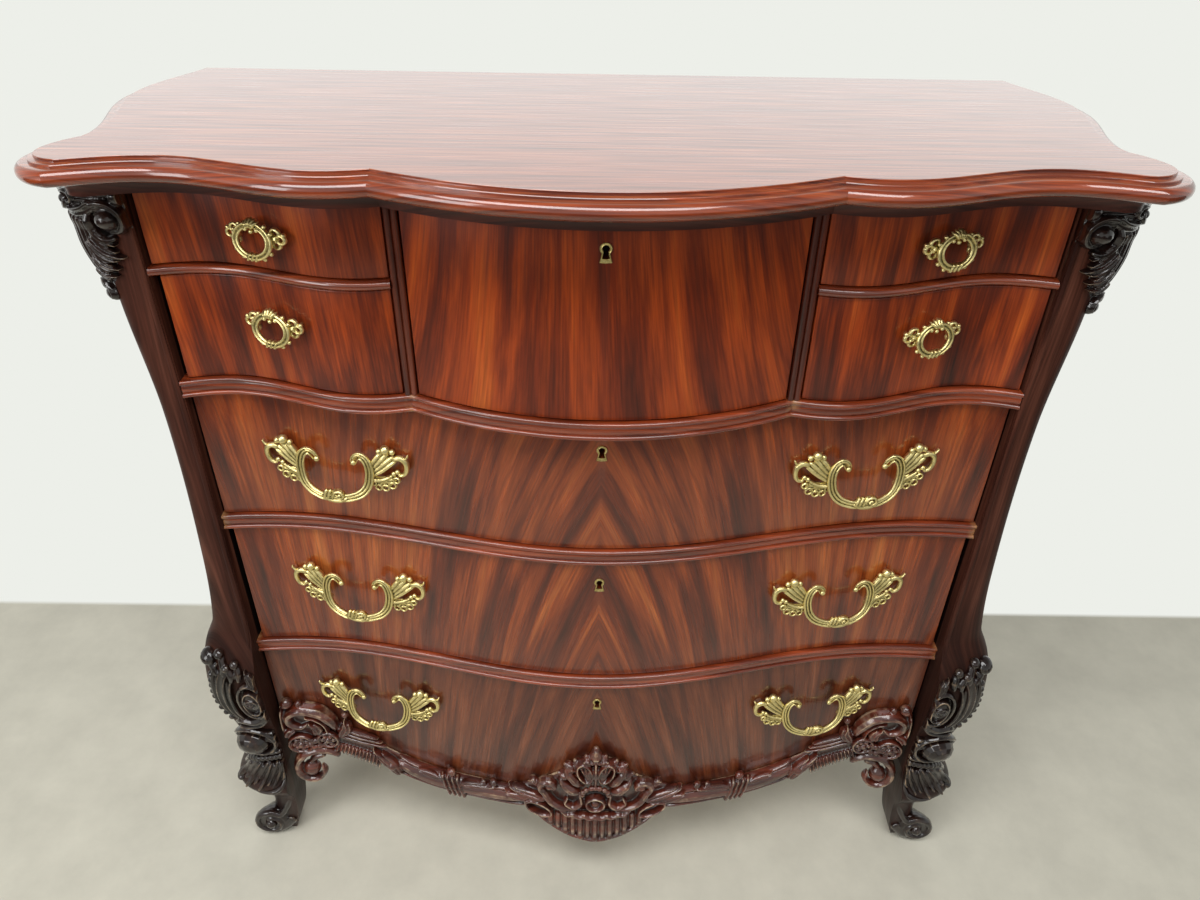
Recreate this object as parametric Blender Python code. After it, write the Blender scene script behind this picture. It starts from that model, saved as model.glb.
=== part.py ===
"""Serpentine chest of drawers in carved mahogany, with cast brass pulls.

Metres, +Z up.  The front faces -Y, the right-hand side is +X and the origin is on the floor
under the middle of the top.  Eight drawers slide straight out towards -Y.
"""
import math

import bmesh
import bpy
from mathutils import Matrix, Vector

# Overall size, measured over the moulded top.
WIDTH = 1.260
DEPTH = 0.560
HEIGHT = 1.256

# Clearances.
SEAT_GAP = 0.0003
DRAWER_GAP = 0.0015
SIDE_CLEAR = 0.004

# Top board and the cove moulding under it.
TOP_THICKNESS = 0.024
TOP_OVERHANG = 0.089
QUIRK_INSET = 0.022
QUIRK_STEP = 0.0035
BULLNOSE_RADIUS = 0.0085
CORNER_LOBE = 0.068
LOBE_REACH = 0.041
FRIEZE_HEIGHT = 0.022
FRIEZE_INSET = 0.044
FRIEZE_COVE = 0.014
FRIEZE_BACK = 0.010
BACK_OVERHANG = 0.005

# Plan of the front: bows are forward of the line between the drawer ends, hollows behind it.
CORNER_REACH = 0.097
UPPER_BOW = 0.088
UPPER_SHOULDER = 0.035
UPPER_HOLLOW = 0.010
SHOULDER_FROM_PARTITION = 0.053
HOLLOW_FROM_POST = 0.063
LOWER_BOW = 0.060
LOWER_HOLLOW = 0.012
LOWER_HOLLOW_FROM_POST = 0.073

# Plan of the sides: the edge of the top swells towards the back.
SIDE_WAIST_INSET = 0.038
SIDE_WAIST_FROM_FACE = 0.045
SIDE_HALF_WAVE = 0.190
SIDE_PANEL_INSET = 0.050

# Heights of the openings, from the top down.
SMALL_UPPER_OPENING = 0.098
SMALL_LOWER_OPENING = 0.140
SMALL_SHELF_HEIGHT = 0.012
RAIL_HEIGHT = 0.024
UPPER_LONG_OPENING = 0.197
MIDDLE_LONG_OPENING = 0.223
BOTTOM_LONG_OPENING = 0.206
BASE_THICKNESS = 0.016

# Carcase sections.
SMALL_DRAWER_WIDTH = 0.288
PARTITION_THICKNESS = 0.016
RAIL_DEPTH = 0.045
RAIL_PROUD = 0.007
DUSTBOARD_THICKNESS = 0.012
BACK_PANEL_THICKNESS = 0.014
POST_DEPTH = 0.045
REAR_POST_WIDTH = 0.040
REAR_POST_DEPTH = 0.044
REAR_FOOT_TAPER = 0.70

# Drawers.
FRONT_THICKNESS = 0.024
BOX_WALL = 0.010
BOX_BOTTOM = 0.007
BOX_HEADROOM = 0.016
BOX_BACK_CLEAR = 0.008

# Carved capital, knee and scroll foot.
POST_ROUNDNESS = 0.7
POST_WIDTH = 0.104
KNEE_CURL_RADIUS = 0.009
KNEE_CURL_RISE = 0.228
CAPITAL_HEIGHT = 0.128
CAPITAL_PROUD = 0.015
CAPITAL_VOLUTE_RADIUS = 0.025
CAPITAL_VOLUTE_DEPTH = 0.024
CAPITAL_VOLUTE_RISE = 0.098
CAPITAL_DROP_RADIUS = 0.011
CABOCHON_RADIUS = 0.025
FOOT_SCROLL_RADIUS = 0.029
FOOT_SCROLL_WIDTH = 0.044
FOOT_SCROLL_OUT = 0.060
FOOT_SCROLL_FORWARD = 0.010

# Carved apron hung on the bottom drawer.
APRON_DROP = 0.140
APRON_RISE = 0.106
APRON_BRACKET_WIDTH = 0.220
APRON_BAND_RELIEF = 0.015
APRON_SHELL_RELIEF = 0.032
APRON_BRACKET_RELIEF = 0.021
APRON_SHELL_HALF = 0.145
APRON_FLUTE_PITCH = 0.030
APRON_FLUTE_DEPTH = 0.006
APRON_SCROLL_RADIUS = 0.009
APRON_SCROLL_EYE_REACH = 0.015
APRON_SCROLL_ARCH_REACH = 0.064
APRON_SCROLL_FROM_END = 0.032
APRON_SCROLL_DROP = 0.073

# Brass.
LARGE_PULL_FROM_POST = 0.183
LARGE_PULL_DROP = 0.118
LARGE_PULL_POST_SPACING = 0.134
LARGE_PULL_BAR_RADIUS = 0.006
SMALL_PULL_FROM_POST = 0.143
SMALL_PULL_DROP = 0.057
SMALL_PULL_POST_SPACING = 0.056
RING_HALF_WIDTH = 0.0225
RING_HALF_HEIGHT = 0.0205
RING_BAR_RADIUS = 0.0036
RING_LEAN = 0.008
PULL_POST_RADIUS = 0.004
PULL_STAND_OFF = 0.009
ESCUTCHEON_HEIGHT = 0.024
ESCUTCHEON_THICKNESS = 0.0016
KEYHOLE_RADIUS = 0.0032
KEY_DROP = 0.035
LOCK_WIDTH = 0.050
LOCK_HEIGHT = 0.034
LOCK_DEPTH = 0.010

# Places that follow from the sizes above.
FACE_Y = -DEPTH / 2 + UPPER_BOW + TOP_OVERHANG
TOP_BACK_Y = DEPTH / 2
CASE_BACK_Y = TOP_BACK_Y - BACK_OVERHANG
BACK_PANEL_Y = CASE_BACK_Y - BACK_PANEL_THICKNESS
BOX_BACK_Y = BACK_PANEL_Y - BOX_BACK_CLEAR
POST_BACK_Y = FACE_Y + POST_DEPTH
OPENING_HALF = WIDTH / 2 - CORNER_REACH
FRONT_HALF = OPENING_HALF - SIDE_CLEAR
PARTITION_X = OPENING_HALF - SMALL_DRAWER_WIDTH - PARTITION_THICKNESS / 2
SHOULDER_X = PARTITION_X + SHOULDER_FROM_PARTITION
UPPER_HOLLOW_X = OPENING_HALF - HOLLOW_FROM_POST
LOWER_HOLLOW_X = OPENING_HALF - LOWER_HOLLOW_FROM_POST
TOP_UNDER_Z = HEIGHT - TOP_THICKNESS
CASE_TOP_Z = TOP_UNDER_Z - SEAT_GAP
FRIEZE_Z = TOP_UNDER_Z - FRIEZE_HEIGHT
POST_TOP_Z = FRIEZE_Z - SEAT_GAP
SMALL_SHELF_TOP = FRIEZE_Z - SMALL_UPPER_OPENING
SMALL_SHELF_Z = SMALL_SHELF_TOP - SMALL_SHELF_HEIGHT
WAIST_TOP = SMALL_SHELF_Z - SMALL_LOWER_OPENING
WAIST_Z = WAIST_TOP - RAIL_HEIGHT
MIDDLE_TOP = WAIST_Z - UPPER_LONG_OPENING
MIDDLE_Z = MIDDLE_TOP - RAIL_HEIGHT
LOWER_TOP = MIDDLE_Z - MIDDLE_LONG_OPENING
LOWER_Z = LOWER_TOP - RAIL_HEIGHT
BASE_TOP = LOWER_Z - BOTTOM_LONG_OPENING
BASE_Z = BASE_TOP - BASE_THICKNESS
CAPITAL_Z = POST_TOP_Z - CAPITAL_HEIGHT

# Facets of a curved face, to each side of the middle, and of a curved side.
FACE_FACETS = 16
SIDE_FACETS = 9

SIDES = (("left", -1), ("right", 1))


def clear_scene():
    """Start from an empty scene."""
    for obj in list(bpy.data.objects):
        bpy.data.objects.remove(obj, do_unlink=True)


def make_material(name, colour, roughness, metallic):
    """Principled material with one plain colour."""
    material = bpy.data.materials.new(name)
    material.use_nodes = True
    shader = material.node_tree.nodes["Principled BSDF"]
    shader.inputs["Base Color"].default_value = (*colour, 1.0)
    shader.inputs["Roughness"].default_value = roughness
    shader.inputs["Metallic"].default_value = metallic
    return material


def make_mesh(name, verts, faces):
    """Mesh with its faces turned outwards."""
    bm = bmesh.new()
    points = [bm.verts.new(v) for v in verts]
    for face in faces:
        bm.faces.new([points[i] for i in face])
    bmesh.ops.recalc_face_normals(bm, faces=bm.faces)
    mesh = bpy.data.meshes.new(name)
    bm.to_mesh(mesh)
    bm.free()
    return mesh


def add_object(name, mesh, material, parent=None, smooth=None):
    """Link an object with its own material; smooth is the angle kept sharp, in degrees."""
    obj = bpy.data.objects.new(name, mesh)
    bpy.context.scene.collection.objects.link(obj)
    mesh.materials.clear()
    mesh.materials.append(material)
    if smooth is not None:
        mesh.shade_smooth()
        mesh.set_sharp_from_angle(angle=math.radians(smooth))
    if parent is not None:
        obj.parent = parent
        obj.matrix_parent_inverse = Matrix.Translation(parent.location).inverted()
    return obj


def add_cutter(name, mesh):
    """Hidden solid that only shapes another piece."""
    obj = bpy.data.objects.new(name, mesh)
    bpy.context.scene.collection.objects.link(obj)
    obj.hide_render = True
    obj.display_type = "WIRE"
    return obj


def combine(target, name, mesh, operation):
    """Add or cut one more solid with a Boolean that stays on the target."""
    modifier = target.modifiers.new(name, "BOOLEAN")
    modifier.operation = operation
    modifier.solver = "EXACT"
    modifier.object = add_cutter(f"{target.name}_{name}", mesh)
    if target.parent is not None:
        modifier.object.parent = target.parent
        modifier.object.matrix_parent_inverse = target.matrix_parent_inverse


def spread(start, end, count):
    """Evenly spaced values, both ends included."""
    return [start + (end - start) * i / (count - 1) for i in range(count)]


def wave(position, start, end, at_start, at_end):
    """Half a cosine between two places, carried on past both."""
    phase = math.pi * (position - start) / (end - start)
    return (at_start + at_end) / 2 + (at_start - at_end) / 2 * math.cos(phase)


def upper_face(x):
    """Drawer faces of the upper tier: a bow between the partitions, an ogee beyond each."""
    x = abs(x)
    if x >= PARTITION_X:
        return FACE_Y + wave(x, SHOULDER_X, UPPER_HOLLOW_X, -UPPER_SHOULDER, UPPER_HOLLOW)
    cusp = wave(PARTITION_X, SHOULDER_X, UPPER_HOLLOW_X, -UPPER_SHOULDER, UPPER_HOLLOW)
    return FACE_Y - UPPER_BOW + (UPPER_BOW + cusp) * (x / PARTITION_X) ** 2


def lower_face(x):
    """Faces of the long drawers: one serpentine wave."""
    return FACE_Y + wave(abs(x), 0.0, LOWER_HOLLOW_X, -LOWER_BOW, LOWER_HOLLOW)


def side_edge(y):
    """Outermost edge of the top along its sides."""
    waist = WIDTH / 2 - SIDE_WAIST_INSET
    start = FACE_Y + SIDE_WAIST_FROM_FACE
    return wave(y, start, start + SIDE_HALF_WAVE, waist, WIDTH / 2)


def stations(x0, x1):
    """Places along a face from x0 to x1, on one grid so that neighbours share their facets."""
    grid = spread(-OPENING_HALF, OPENING_HALF, 2 * FACE_FACETS + 1) + [-PARTITION_X, PARTITION_X]
    return [x0] + sorted(x for x in grid if x0 + SEAT_GAP < x < x1 - SEAT_GAP) + [x1]


def side_stations(y0, y1):
    """Places along a side from y0 to y1, on one grid as for the faces."""
    grid = spread(POST_BACK_Y, CASE_BACK_Y, SIDE_FACETS + 1)
    return [y0] + [y for y in grid if y0 + 2 * SEAT_GAP < y < y1 - 2 * SEAT_GAP] + [y1]


def smooth_through(rows, z):
    """Read every column of a table of rows, keyed by height, on a smooth curve."""
    rows = sorted(rows)
    low = max(i for i in range(len(rows) - 1) if rows[i][0] <= z or i == 0)
    before, start = rows[max(low - 1, 0)], rows[low]
    end, after = rows[low + 1], rows[min(low + 2, len(rows) - 1)]
    span = end[0] - start[0]
    t = min(max((z - start[0]) / span, 0.0), 1.0)
    values = []
    for column in range(1, len(start)):
        slope_in = (end[column] - before[column]) / (end[0] - before[0]) * span
        slope_out = (after[column] - start[column]) / (after[0] - start[0]) * span
        values.append((2 * t ** 3 - 3 * t ** 2 + 1) * start[column] + (t ** 3 - 2 * t ** 2 + t) * slope_in
                      + (3 * t ** 2 - 2 * t ** 3) * end[column] + (t ** 3 - t ** 2) * slope_out)
    return values


def loft(name, rings, endless=False):
    """Solid through rings with equal numbers of points, capped at both ends or joined end to end."""
    size = len(rings[0])
    verts = [point for ring in rings for point in ring]
    faces = [] if endless else [tuple(range(size)), tuple(range(len(verts) - size, len(verts)))]
    for level in range(len(rings) if endless else len(rings) - 1):
        base = level * size
        above = (level + 1) % len(rings) * size
        for i in range(size):
            j = (i + 1) % size
            faces.append((base + i, base + j, above + j, above + i))
    return make_mesh(name, verts, faces)


def prism(name, outline, z0, z1):
    """Upright solid on a plan outline."""
    return loft(name, [[(x, y, z) for x, y in outline] for z in (z0, z1)])


def box(name, x_range, y_range, z_range):
    """Rectangular solid."""
    (x0, x1), (y0, y1) = x_range, y_range
    return prism(name, [(x0, y0), (x1, y0), (x1, y1), (x0, y1)], *z_range)


def run_along(name, xs, face, profile):
    """Sweep a section of (depth, height) points along a face in plan."""
    return loft(name, [[(x, face(x) + depth, z) for depth, z in profile] for x in xs])


def circle(radius, count, turn=0.0):
    """Points of a circle."""
    angles = [turn + 2 * math.pi * i / count for i in range(count)]
    return [(radius * math.cos(a), radius * math.sin(a)) for a in angles]


def barrel_rings(centre, radius, length, count):
    """Rings of a round bar lying front to back, with its edges eased."""
    ease = radius / 6
    levels = [(0.0, radius - ease), (ease, radius), (length - ease, radius), (length, radius - ease)]
    return [[(centre[0] + u, centre[1] + d, centre[2] + v) for u, v in circle(r, count)] for d, r in levels]


def ball_rings(centre, radius, count, levels):
    """Rings of a ball, pole to pole."""
    rings = []
    for i in range(levels):
        tilt = math.pi * (i + 0.5) / levels
        ring = circle(radius * math.sin(tilt), count)
        rings.append([(centre[0] + u, centre[1] + v, centre[2] + radius * math.cos(tilt)) for u, v in ring])
    return rings


def tube_rings(path, radii, count, squash=1.0, endless=False):
    """Rings of a bar along a path; squash flattens it front to back."""
    rings = []
    points = [Vector(p) for p in path]
    last = len(points) - 1
    for i, point in enumerate(points):
        ahead = points[min(i + 1, last)] - points[max(i - 1, 0)]
        if endless:
            ahead = points[(i + 1) % len(points)] - points[i - 1]
        side = ahead.cross(Vector((0.0, 1.0, 0.0))).normalized()
        front = side.cross(ahead).normalized()
        ring = []
        for u, v in circle(radii[i], count, math.pi / count):
            ring.append(tuple(point + side * u + front * (v * squash)))
        rings.append(ring)
    return rings


def top_half(inset, y_end, steps):
    """Edge of the top from the middle of the front round to y_end on the right-hand side."""
    corner_x = WIDTH / 2 - CORNER_LOBE - inset / 5
    xs = spread(0.0, PARTITION_X, steps) + spread(PARTITION_X, corner_x, 2 * steps)[1:]
    points = [(x, upper_face(x) - TOP_OVERHANG + inset) for x in xs]
    side_y = FACE_Y + SIDE_WAIST_FROM_FACE / 4
    reach = LOBE_REACH - inset / 5
    start = Vector(points[-1])
    end = Vector((side_edge(side_y) - inset, side_y))
    first = start + Vector((reach, reach / 6))
    second = end + Vector((reach, -reach * 1.3))
    for t in spread(0.0, 1.0, steps)[1:]:
        s = 1 - t
        points.append(tuple(start * s ** 3 + first * 3 * s * s * t + second * 3 * s * t * t + end * t ** 3))
    points += [(side_edge(y) - inset, y) for y in spread(side_y, y_end, steps)[1:]]
    return points


def mirrored(half):
    """Whole outline from its right half, which starts and may end on the middle line."""
    other = [(-x, y) for x, y in reversed(half) if abs(x) > SEAT_GAP]
    return half + other


def build_top(wood):
    """Moulded top board: two small quirks and a bullnose round the front and sides."""
    radius = BULLNOSE_RADIUS
    ledge = (QUIRK_INSET - radius) / 2
    nose_top = 2 * QUIRK_STEP
    profile = [(QUIRK_INSET, 0.0), (QUIRK_INSET, QUIRK_STEP), (QUIRK_INSET - ledge, QUIRK_STEP * 1.25),
               (QUIRK_INSET - ledge, nose_top)]
    for turn in spread(0.0, math.pi, 6):
        profile.append((radius * (1 - math.sin(turn)), nose_top + radius * (1 - math.cos(turn))))
    profile.append((QUIRK_INSET, TOP_THICKNESS))
    rings = []
    for inset, drop in profile:
        outline = mirrored(top_half(inset, TOP_BACK_Y, 6))
        rings.append([(x, y, HEIGHT - drop) for x, y in outline])
    add_object("top_board", loft("top_board", rings), wood, smooth=35)


def frieze_levels():
    """Inset and height of the cove moulding, bottom to top."""
    steps = ((0.0, 0.0), (0.10, 0.35), (0.40, 0.70), (1.0, 1.0))
    return [(FRIEZE_INSET - FRIEZE_COVE * a, FRIEZE_Z + (CASE_TOP_Z - FRIEZE_Z) * b) for a, b in steps]


def build_friezes(wood):
    """Cove moulding under the top, in three lengths that meet behind the front posts."""
    rings = []
    for inset, z in frieze_levels():
        half = top_half(inset, POST_BACK_Y, 5)
        half += [(OPENING_HALF, POST_BACK_Y)]
        half += [(x, upper_face(x) + FRIEZE_BACK) for x in reversed(stations(0.0, OPENING_HALF))]
        rings.append([(x, y, z) for x, y in mirrored(half)])
    add_object("front_frieze", loft("front_frieze", rings), wood, smooth=35)
    ys = side_stations(POST_BACK_Y + SEAT_GAP, CASE_BACK_Y)
    for side, sign in SIDES:
        rings = []
        for inset, z in frieze_levels():
            outer = [(sign * (side_edge(y) - inset), y, z) for y in ys]
            inner = [(sign * (side_edge(y) - SIDE_PANEL_INSET + SEAT_GAP), y, z) for y in reversed(ys)]
            rings.append(outer + inner)
        add_object(f"{side}_frieze", loft(f"{side}_frieze", rings), wood, smooth=35)


def post_rows():
    """Profile of a front post from foot to top.

    Each row is height, outward reach, front reach, inner edge and back edge, the reaches being
    measured from the drawer opening and from the line between the drawer ends.  They are written
    as shares of the width of the post at its knee and of its depth.
    """
    leg = BASE_Z
    tall = POST_TOP_Z - BASE_Z
    shares = [
        (0.0, 0.50, 0.09, 0.23, 0.93),
        (0.14 * leg, 0.54, -0.04, 0.115, 0.955),
        (0.32 * leg, 0.44, -0.09, 0.05, 0.98),
        (0.48 * leg, 0.48, -0.18, 0.03, 1.0),
        (0.57 * leg, 0.73, -0.53, 0.01, 1.0),
        (0.67 * leg, 0.90, -0.755, 0.0, 1.0),
        (0.80 * leg, 0.70, -0.40, 0.0, 1.0),
        (BASE_Z, 0.68, -0.27, 0.0, 1.0),
        (BASE_Z + 0.06 * tall, 0.83, -0.40, 0.0, 1.0),
        (BASE_Z + 0.13 * tall, 1.0, -0.62, 0.0, 1.0),
        (BASE_Z + 0.20 * tall, 0.95, -0.755, 0.0, 1.0),
        (BASE_Z + 0.24 * tall, 0.865, -0.53, 0.0, 1.0),
        (BASE_Z + 0.29 * tall, 0.67, -0.22, 0.0, 1.0),
        (BASE_Z + 0.46 * tall, 0.51, -0.13, 0.0, 1.0),
        (BASE_Z + 0.68 * tall, 0.46, -0.09, 0.0, 1.0),
        (BASE_Z + 0.87 * tall, 0.575, -0.18, 0.0, 1.0),
        (POST_TOP_Z, 0.46, -0.22, 0.0, 1.0),
    ]
    return [(z, POST_WIDTH * outer, POST_DEPTH * front, POST_WIDTH * inner, POST_DEPTH * back)
            for z, outer, front, inner, back in shares]


def post_arc(z, proud, sign, count=8):
    """Rounded front corner of the post at one height, standing proud of its face."""
    outer, front, inner, back = smooth_through(post_rows(), z)
    points = []
    for turn in spread(0.0, math.pi / 2, count):
        across = (outer - inner + proud) * math.sin(turn) ** POST_ROUNDNESS
        forward = (back - front + proud) * math.cos(turn) ** POST_ROUNDNESS
        points.append((sign * (OPENING_HALF + inner + across), FACE_Y + back - forward, z))
    return points


def capital_levels():
    """Heights shared by the capital and the post behind it, and how far the carving stands proud."""
    return [
        (CAPITAL_Z, 0.3),
        (CAPITAL_Z + 0.14 * CAPITAL_HEIGHT, 0.45),
        (CAPITAL_Z + 0.34 * CAPITAL_HEIGHT, 0.55),
        (CAPITAL_Z + 0.60 * CAPITAL_HEIGHT, 0.70),
        (CAPITAL_Z + 0.80 * CAPITAL_HEIGHT, 0.62),
        (CAPITAL_Z + 0.86 * CAPITAL_HEIGHT, 0.95),
        (POST_TOP_Z - 2 * SEAT_GAP, 1.0),
    ]


def build_front_posts(wood):
    """Posts of the front corners, running down through the carved knee to a scroll foot."""
    heights = spread(0.0, BASE_Z, 11) + spread(BASE_Z, CAPITAL_Z, 13)[1:]
    heights += [z for z, _ in capital_levels()][1:] + [POST_TOP_Z]
    for side, sign in SIDES:
        rings = []
        for z in heights:
            _, _, inner, back = smooth_through(post_rows(), z)
            heel = (sign * (OPENING_HALF + inner), FACE_Y + back, z)
            rings.append([heel] + post_arc(z, 0.0, sign))
        post = add_object(f"{side}_front_post", loft(f"{side}_front_post", rings), wood, smooth=40)
        scroll = (sign * (OPENING_HALF + FOOT_SCROLL_OUT), FACE_Y - FOOT_SCROLL_FORWARD, FOOT_SCROLL_RADIUS)
        rings = barrel_rings(scroll, FOOT_SCROLL_RADIUS, FOOT_SCROLL_WIDTH, 14)
        combine(post, "foot_scroll", loft("foot_scroll", rings), "UNION")
        ball = post_arc(BASE_Z, -CABOCHON_RADIUS / 3, sign)[4]
        combine(post, "cabochon", loft("cabochon", ball_rings(ball, CABOCHON_RADIUS, 10, 7)), "UNION")
        curl = post_arc(BASE_Z + KNEE_CURL_RISE, 0.0, sign)[4]
        combine(post, "knee_curl", loft("knee_curl", ball_rings(curl, KNEE_CURL_RADIUS, 8, 5)), "UNION")


def build_capitals(wood):
    """Carved volute brackets planted on the heads of the front posts."""
    for side, sign in SIDES:
        rings = []
        for z, share in capital_levels():
            outer = post_arc(z, CAPITAL_PROUD * share, sign)
            rings.append(outer + list(reversed(post_arc(z, SEAT_GAP, sign))))
        capital = add_object(f"{side}_capital", loft(f"{side}_capital", rings), wood, smooth=40)
        height = CAPITAL_Z + CAPITAL_VOLUTE_RISE
        _, front, _, _ = smooth_through(post_rows(), height)
        centre = (sign * (OPENING_HALF + CAPITAL_VOLUTE_RADIUS),
                  FACE_Y + front - CAPITAL_VOLUTE_DEPTH - CAPITAL_PROUD / 5, height)
        rings = barrel_rings(centre, CAPITAL_VOLUTE_RADIUS, CAPITAL_VOLUTE_DEPTH, 12)
        combine(capital, "volute", loft("volute", rings), "UNION")
        corner = post_arc(CAPITAL_Z, CAPITAL_DROP_RADIUS / 2, sign)[5]
        drop = (corner[0], corner[1], CAPITAL_Z + CAPITAL_DROP_RADIUS / 3)
        knob = loft("drop", ball_rings(drop, CAPITAL_DROP_RADIUS, 10, 6))
        combine(capital, "drop", knob, "UNION")
        keep_out = loft("seat", [[(sign * (OPENING_HALF - SIDE_CLEAR), POST_BACK_Y, z)]
                                 + post_arc(z, SEAT_GAP, sign) for z in capital_cut_heights()])
        combine(capital, "seat", keep_out, "DIFFERENCE")


def capital_cut_heights():
    """Heights of the seat cut behind a capital, past both of its ends."""
    inside = [z for z, _ in capital_levels()]
    return [CAPITAL_Z - CAPITAL_DROP_RADIUS] + inside + [POST_TOP_Z + SEAT_GAP]


def build_rear_posts(wood):
    """Square rear posts that taper to plain feet."""
    for side, sign in SIDES:
        rings = []
        for z, share in ((0.0, REAR_FOOT_TAPER), (BASE_Z, 1.0), (CASE_TOP_Z, 1.0)):
            inner = OPENING_HALF + 2 * SEAT_GAP
            outer = inner + REAR_POST_WIDTH * share
            front = CASE_BACK_Y - REAR_POST_DEPTH * share
            corners = [(inner, front), (outer, front), (outer, CASE_BACK_Y), (inner, CASE_BACK_Y)]
            rings.append([(sign * x, y, z) for x, y in corners])
        post = add_object(f"{side}_rear_post", loft(f"{side}_rear_post", rings), wood)
        clear_of_frieze(post, side, sign)


def clear_of_frieze(post, side, sign):
    """Trim the head of a rear post to the line of the side panel."""
    ys = side_stations(CASE_BACK_Y - 2 * REAR_POST_DEPTH, CASE_BACK_Y) + [TOP_BACK_Y]
    edge = [(sign * (side_edge(y) - SIDE_PANEL_INSET), y) for y in ys]
    outer = [(sign * WIDTH, ys[-1]), (sign * WIDTH, ys[0])]
    combine(post, "side_line", prism("side_line", edge + outer, BASE_Z, HEIGHT), "DIFFERENCE")


def build_side_panels(wood):
    """Side panels that follow the swell of the top."""
    ys = side_stations(POST_BACK_Y + SEAT_GAP, CASE_BACK_Y - REAR_POST_DEPTH - SEAT_GAP)
    for side, sign in SIDES:
        outer = [(sign * (side_edge(y) - SIDE_PANEL_INSET), y) for y in ys]
        inner_x = sign * (OPENING_HALF + 2 * SEAT_GAP)
        outline = outer + [(inner_x, ys[-1]), (inner_x, ys[0])]
        mesh = prism(f"{side}_side_panel", outline, BASE_Z, CASE_TOP_Z)
        add_object(f"{side}_side_panel", mesh, wood, smooth=35)


def build_back_panel(wood):
    """Back board between the rear posts."""
    half = OPENING_HALF + SEAT_GAP
    mesh = box("back_panel", (-half, half), (BACK_PANEL_Y, CASE_BACK_Y), (BASE_Z, CASE_TOP_Z))
    add_object("back_panel", mesh, wood)


def rail_profile(z0, z1):
    """Two beads with a channel between them on the front of a flat rail."""
    bead = (z1 - z0) / 3
    crest, edge, channel = -RAIL_PROUD, -RAIL_PROUD * 0.55, -RAIL_PROUD * 0.4
    front = [(edge, z0), (crest, z0 + bead / 2), (channel, z0 + bead),
             (channel, z1 - bead), (crest, z1 - bead / 2), (edge, z1)]
    return [(RAIL_DEPTH, z1), (RAIL_DEPTH, z0)] + front


def build_rails(wood):
    """Rails between the drawers and the rail behind the cove moulding."""
    half = OPENING_HALF - SEAT_GAP
    for name, face, z0, z1 in (("waist_rail", upper_face, WAIST_Z, WAIST_TOP),
                               ("middle_rail", lower_face, MIDDLE_Z, MIDDLE_TOP),
                               ("lower_rail", lower_face, LOWER_Z, LOWER_TOP)):
        xs = stations(-half, half)
        add_object(name, run_along(name, xs, face, rail_profile(z0, z1)), wood, smooth=40)
    profile = [(FRIEZE_BACK + SEAT_GAP, FRIEZE_Z), (FRIEZE_BACK + SEAT_GAP, CASE_TOP_Z),
               (FRIEZE_BACK + RAIL_DEPTH, CASE_TOP_Z), (FRIEZE_BACK + RAIL_DEPTH, FRIEZE_Z)]
    add_object("top_rail", run_along("top_rail", stations(-half, half), upper_face, profile), wood)


def build_dustboards(wood):
    """Full-depth boards that the long and upper drawers run on, and the base board."""
    half = OPENING_HALF + SEAT_GAP
    xs = stations(-half, half)
    for name, face, setback, top, thickness in (
            ("waist_dustboard", upper_face, RAIL_DEPTH, WAIST_TOP, DUSTBOARD_THICKNESS),
            ("middle_dustboard", lower_face, RAIL_DEPTH, MIDDLE_TOP, DUSTBOARD_THICKNESS),
            ("lower_dustboard", lower_face, RAIL_DEPTH, LOWER_TOP, DUSTBOARD_THICKNESS),
            ("base_board", lower_face, FRONT_THICKNESS + DRAWER_GAP, BASE_TOP, BASE_THICKNESS)):
        edge = [(x, max(face(x) + setback + SEAT_GAP, limit_behind_post(x))) for x in xs]
        outline = edge + [(half, BACK_PANEL_Y - SEAT_GAP), (-half, BACK_PANEL_Y - SEAT_GAP)]
        add_object(name, prism(name, outline, top - thickness, top), wood)


def limit_behind_post(x):
    """Foremost place of a board, which stops behind the front posts at its ends."""
    if abs(x) < OPENING_HALF - SEAT_GAP:
        return -DEPTH
    return POST_BACK_Y + SEAT_GAP


def build_partitions(wood):
    """Upright partitions beside the hat drawer, with two reeds on the front edge."""
    half = PARTITION_THICKNESS / 2
    front = upper_face(PARTITION_X) - RAIL_PROUD
    reed = half / 2
    nose = [(-half, front + reed), (-reed, front), (0.0, front + reed), (reed, front), (half, front + reed)]
    for side, sign in SIDES:
        outline = [(sign * PARTITION_X + x, y) for x, y in nose]
        outline += [(sign * PARTITION_X + half, BACK_PANEL_Y - SEAT_GAP),
                    (sign * PARTITION_X - half, BACK_PANEL_Y - SEAT_GAP)]
        mesh = prism(f"{side}_partition", outline, WAIST_TOP + SEAT_GAP, FRIEZE_Z - SEAT_GAP)
        add_object(f"{side}_partition", mesh, wood)


def build_small_shelves(wood):
    """Shelves between the small drawers, with a half-round bead in front."""
    x0 = PARTITION_X + PARTITION_THICKNESS / 2 + SEAT_GAP
    x1 = OPENING_HALF - SEAT_GAP
    depth_back = BACK_PANEL_Y - SEAT_GAP
    for side, sign in SIDES:
        rings = []
        for x in stations(x0, x1):
            face = upper_face(x)
            ring = [(sign * x, depth_back, SMALL_SHELF_TOP), (sign * x, depth_back, SMALL_SHELF_Z)]
            for turn in spread(-math.pi / 2, math.pi / 2, 6):
                lift = SMALL_SHELF_HEIGHT / 2 * (1 + math.sin(turn))
                ring.append((sign * x, face - RAIL_PROUD * math.cos(turn), SMALL_SHELF_Z + lift))
            rings.append(ring)
        add_object(f"{side}_small_shelf", loft(f"{side}_small_shelf", rings), wood, smooth=40)


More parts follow.
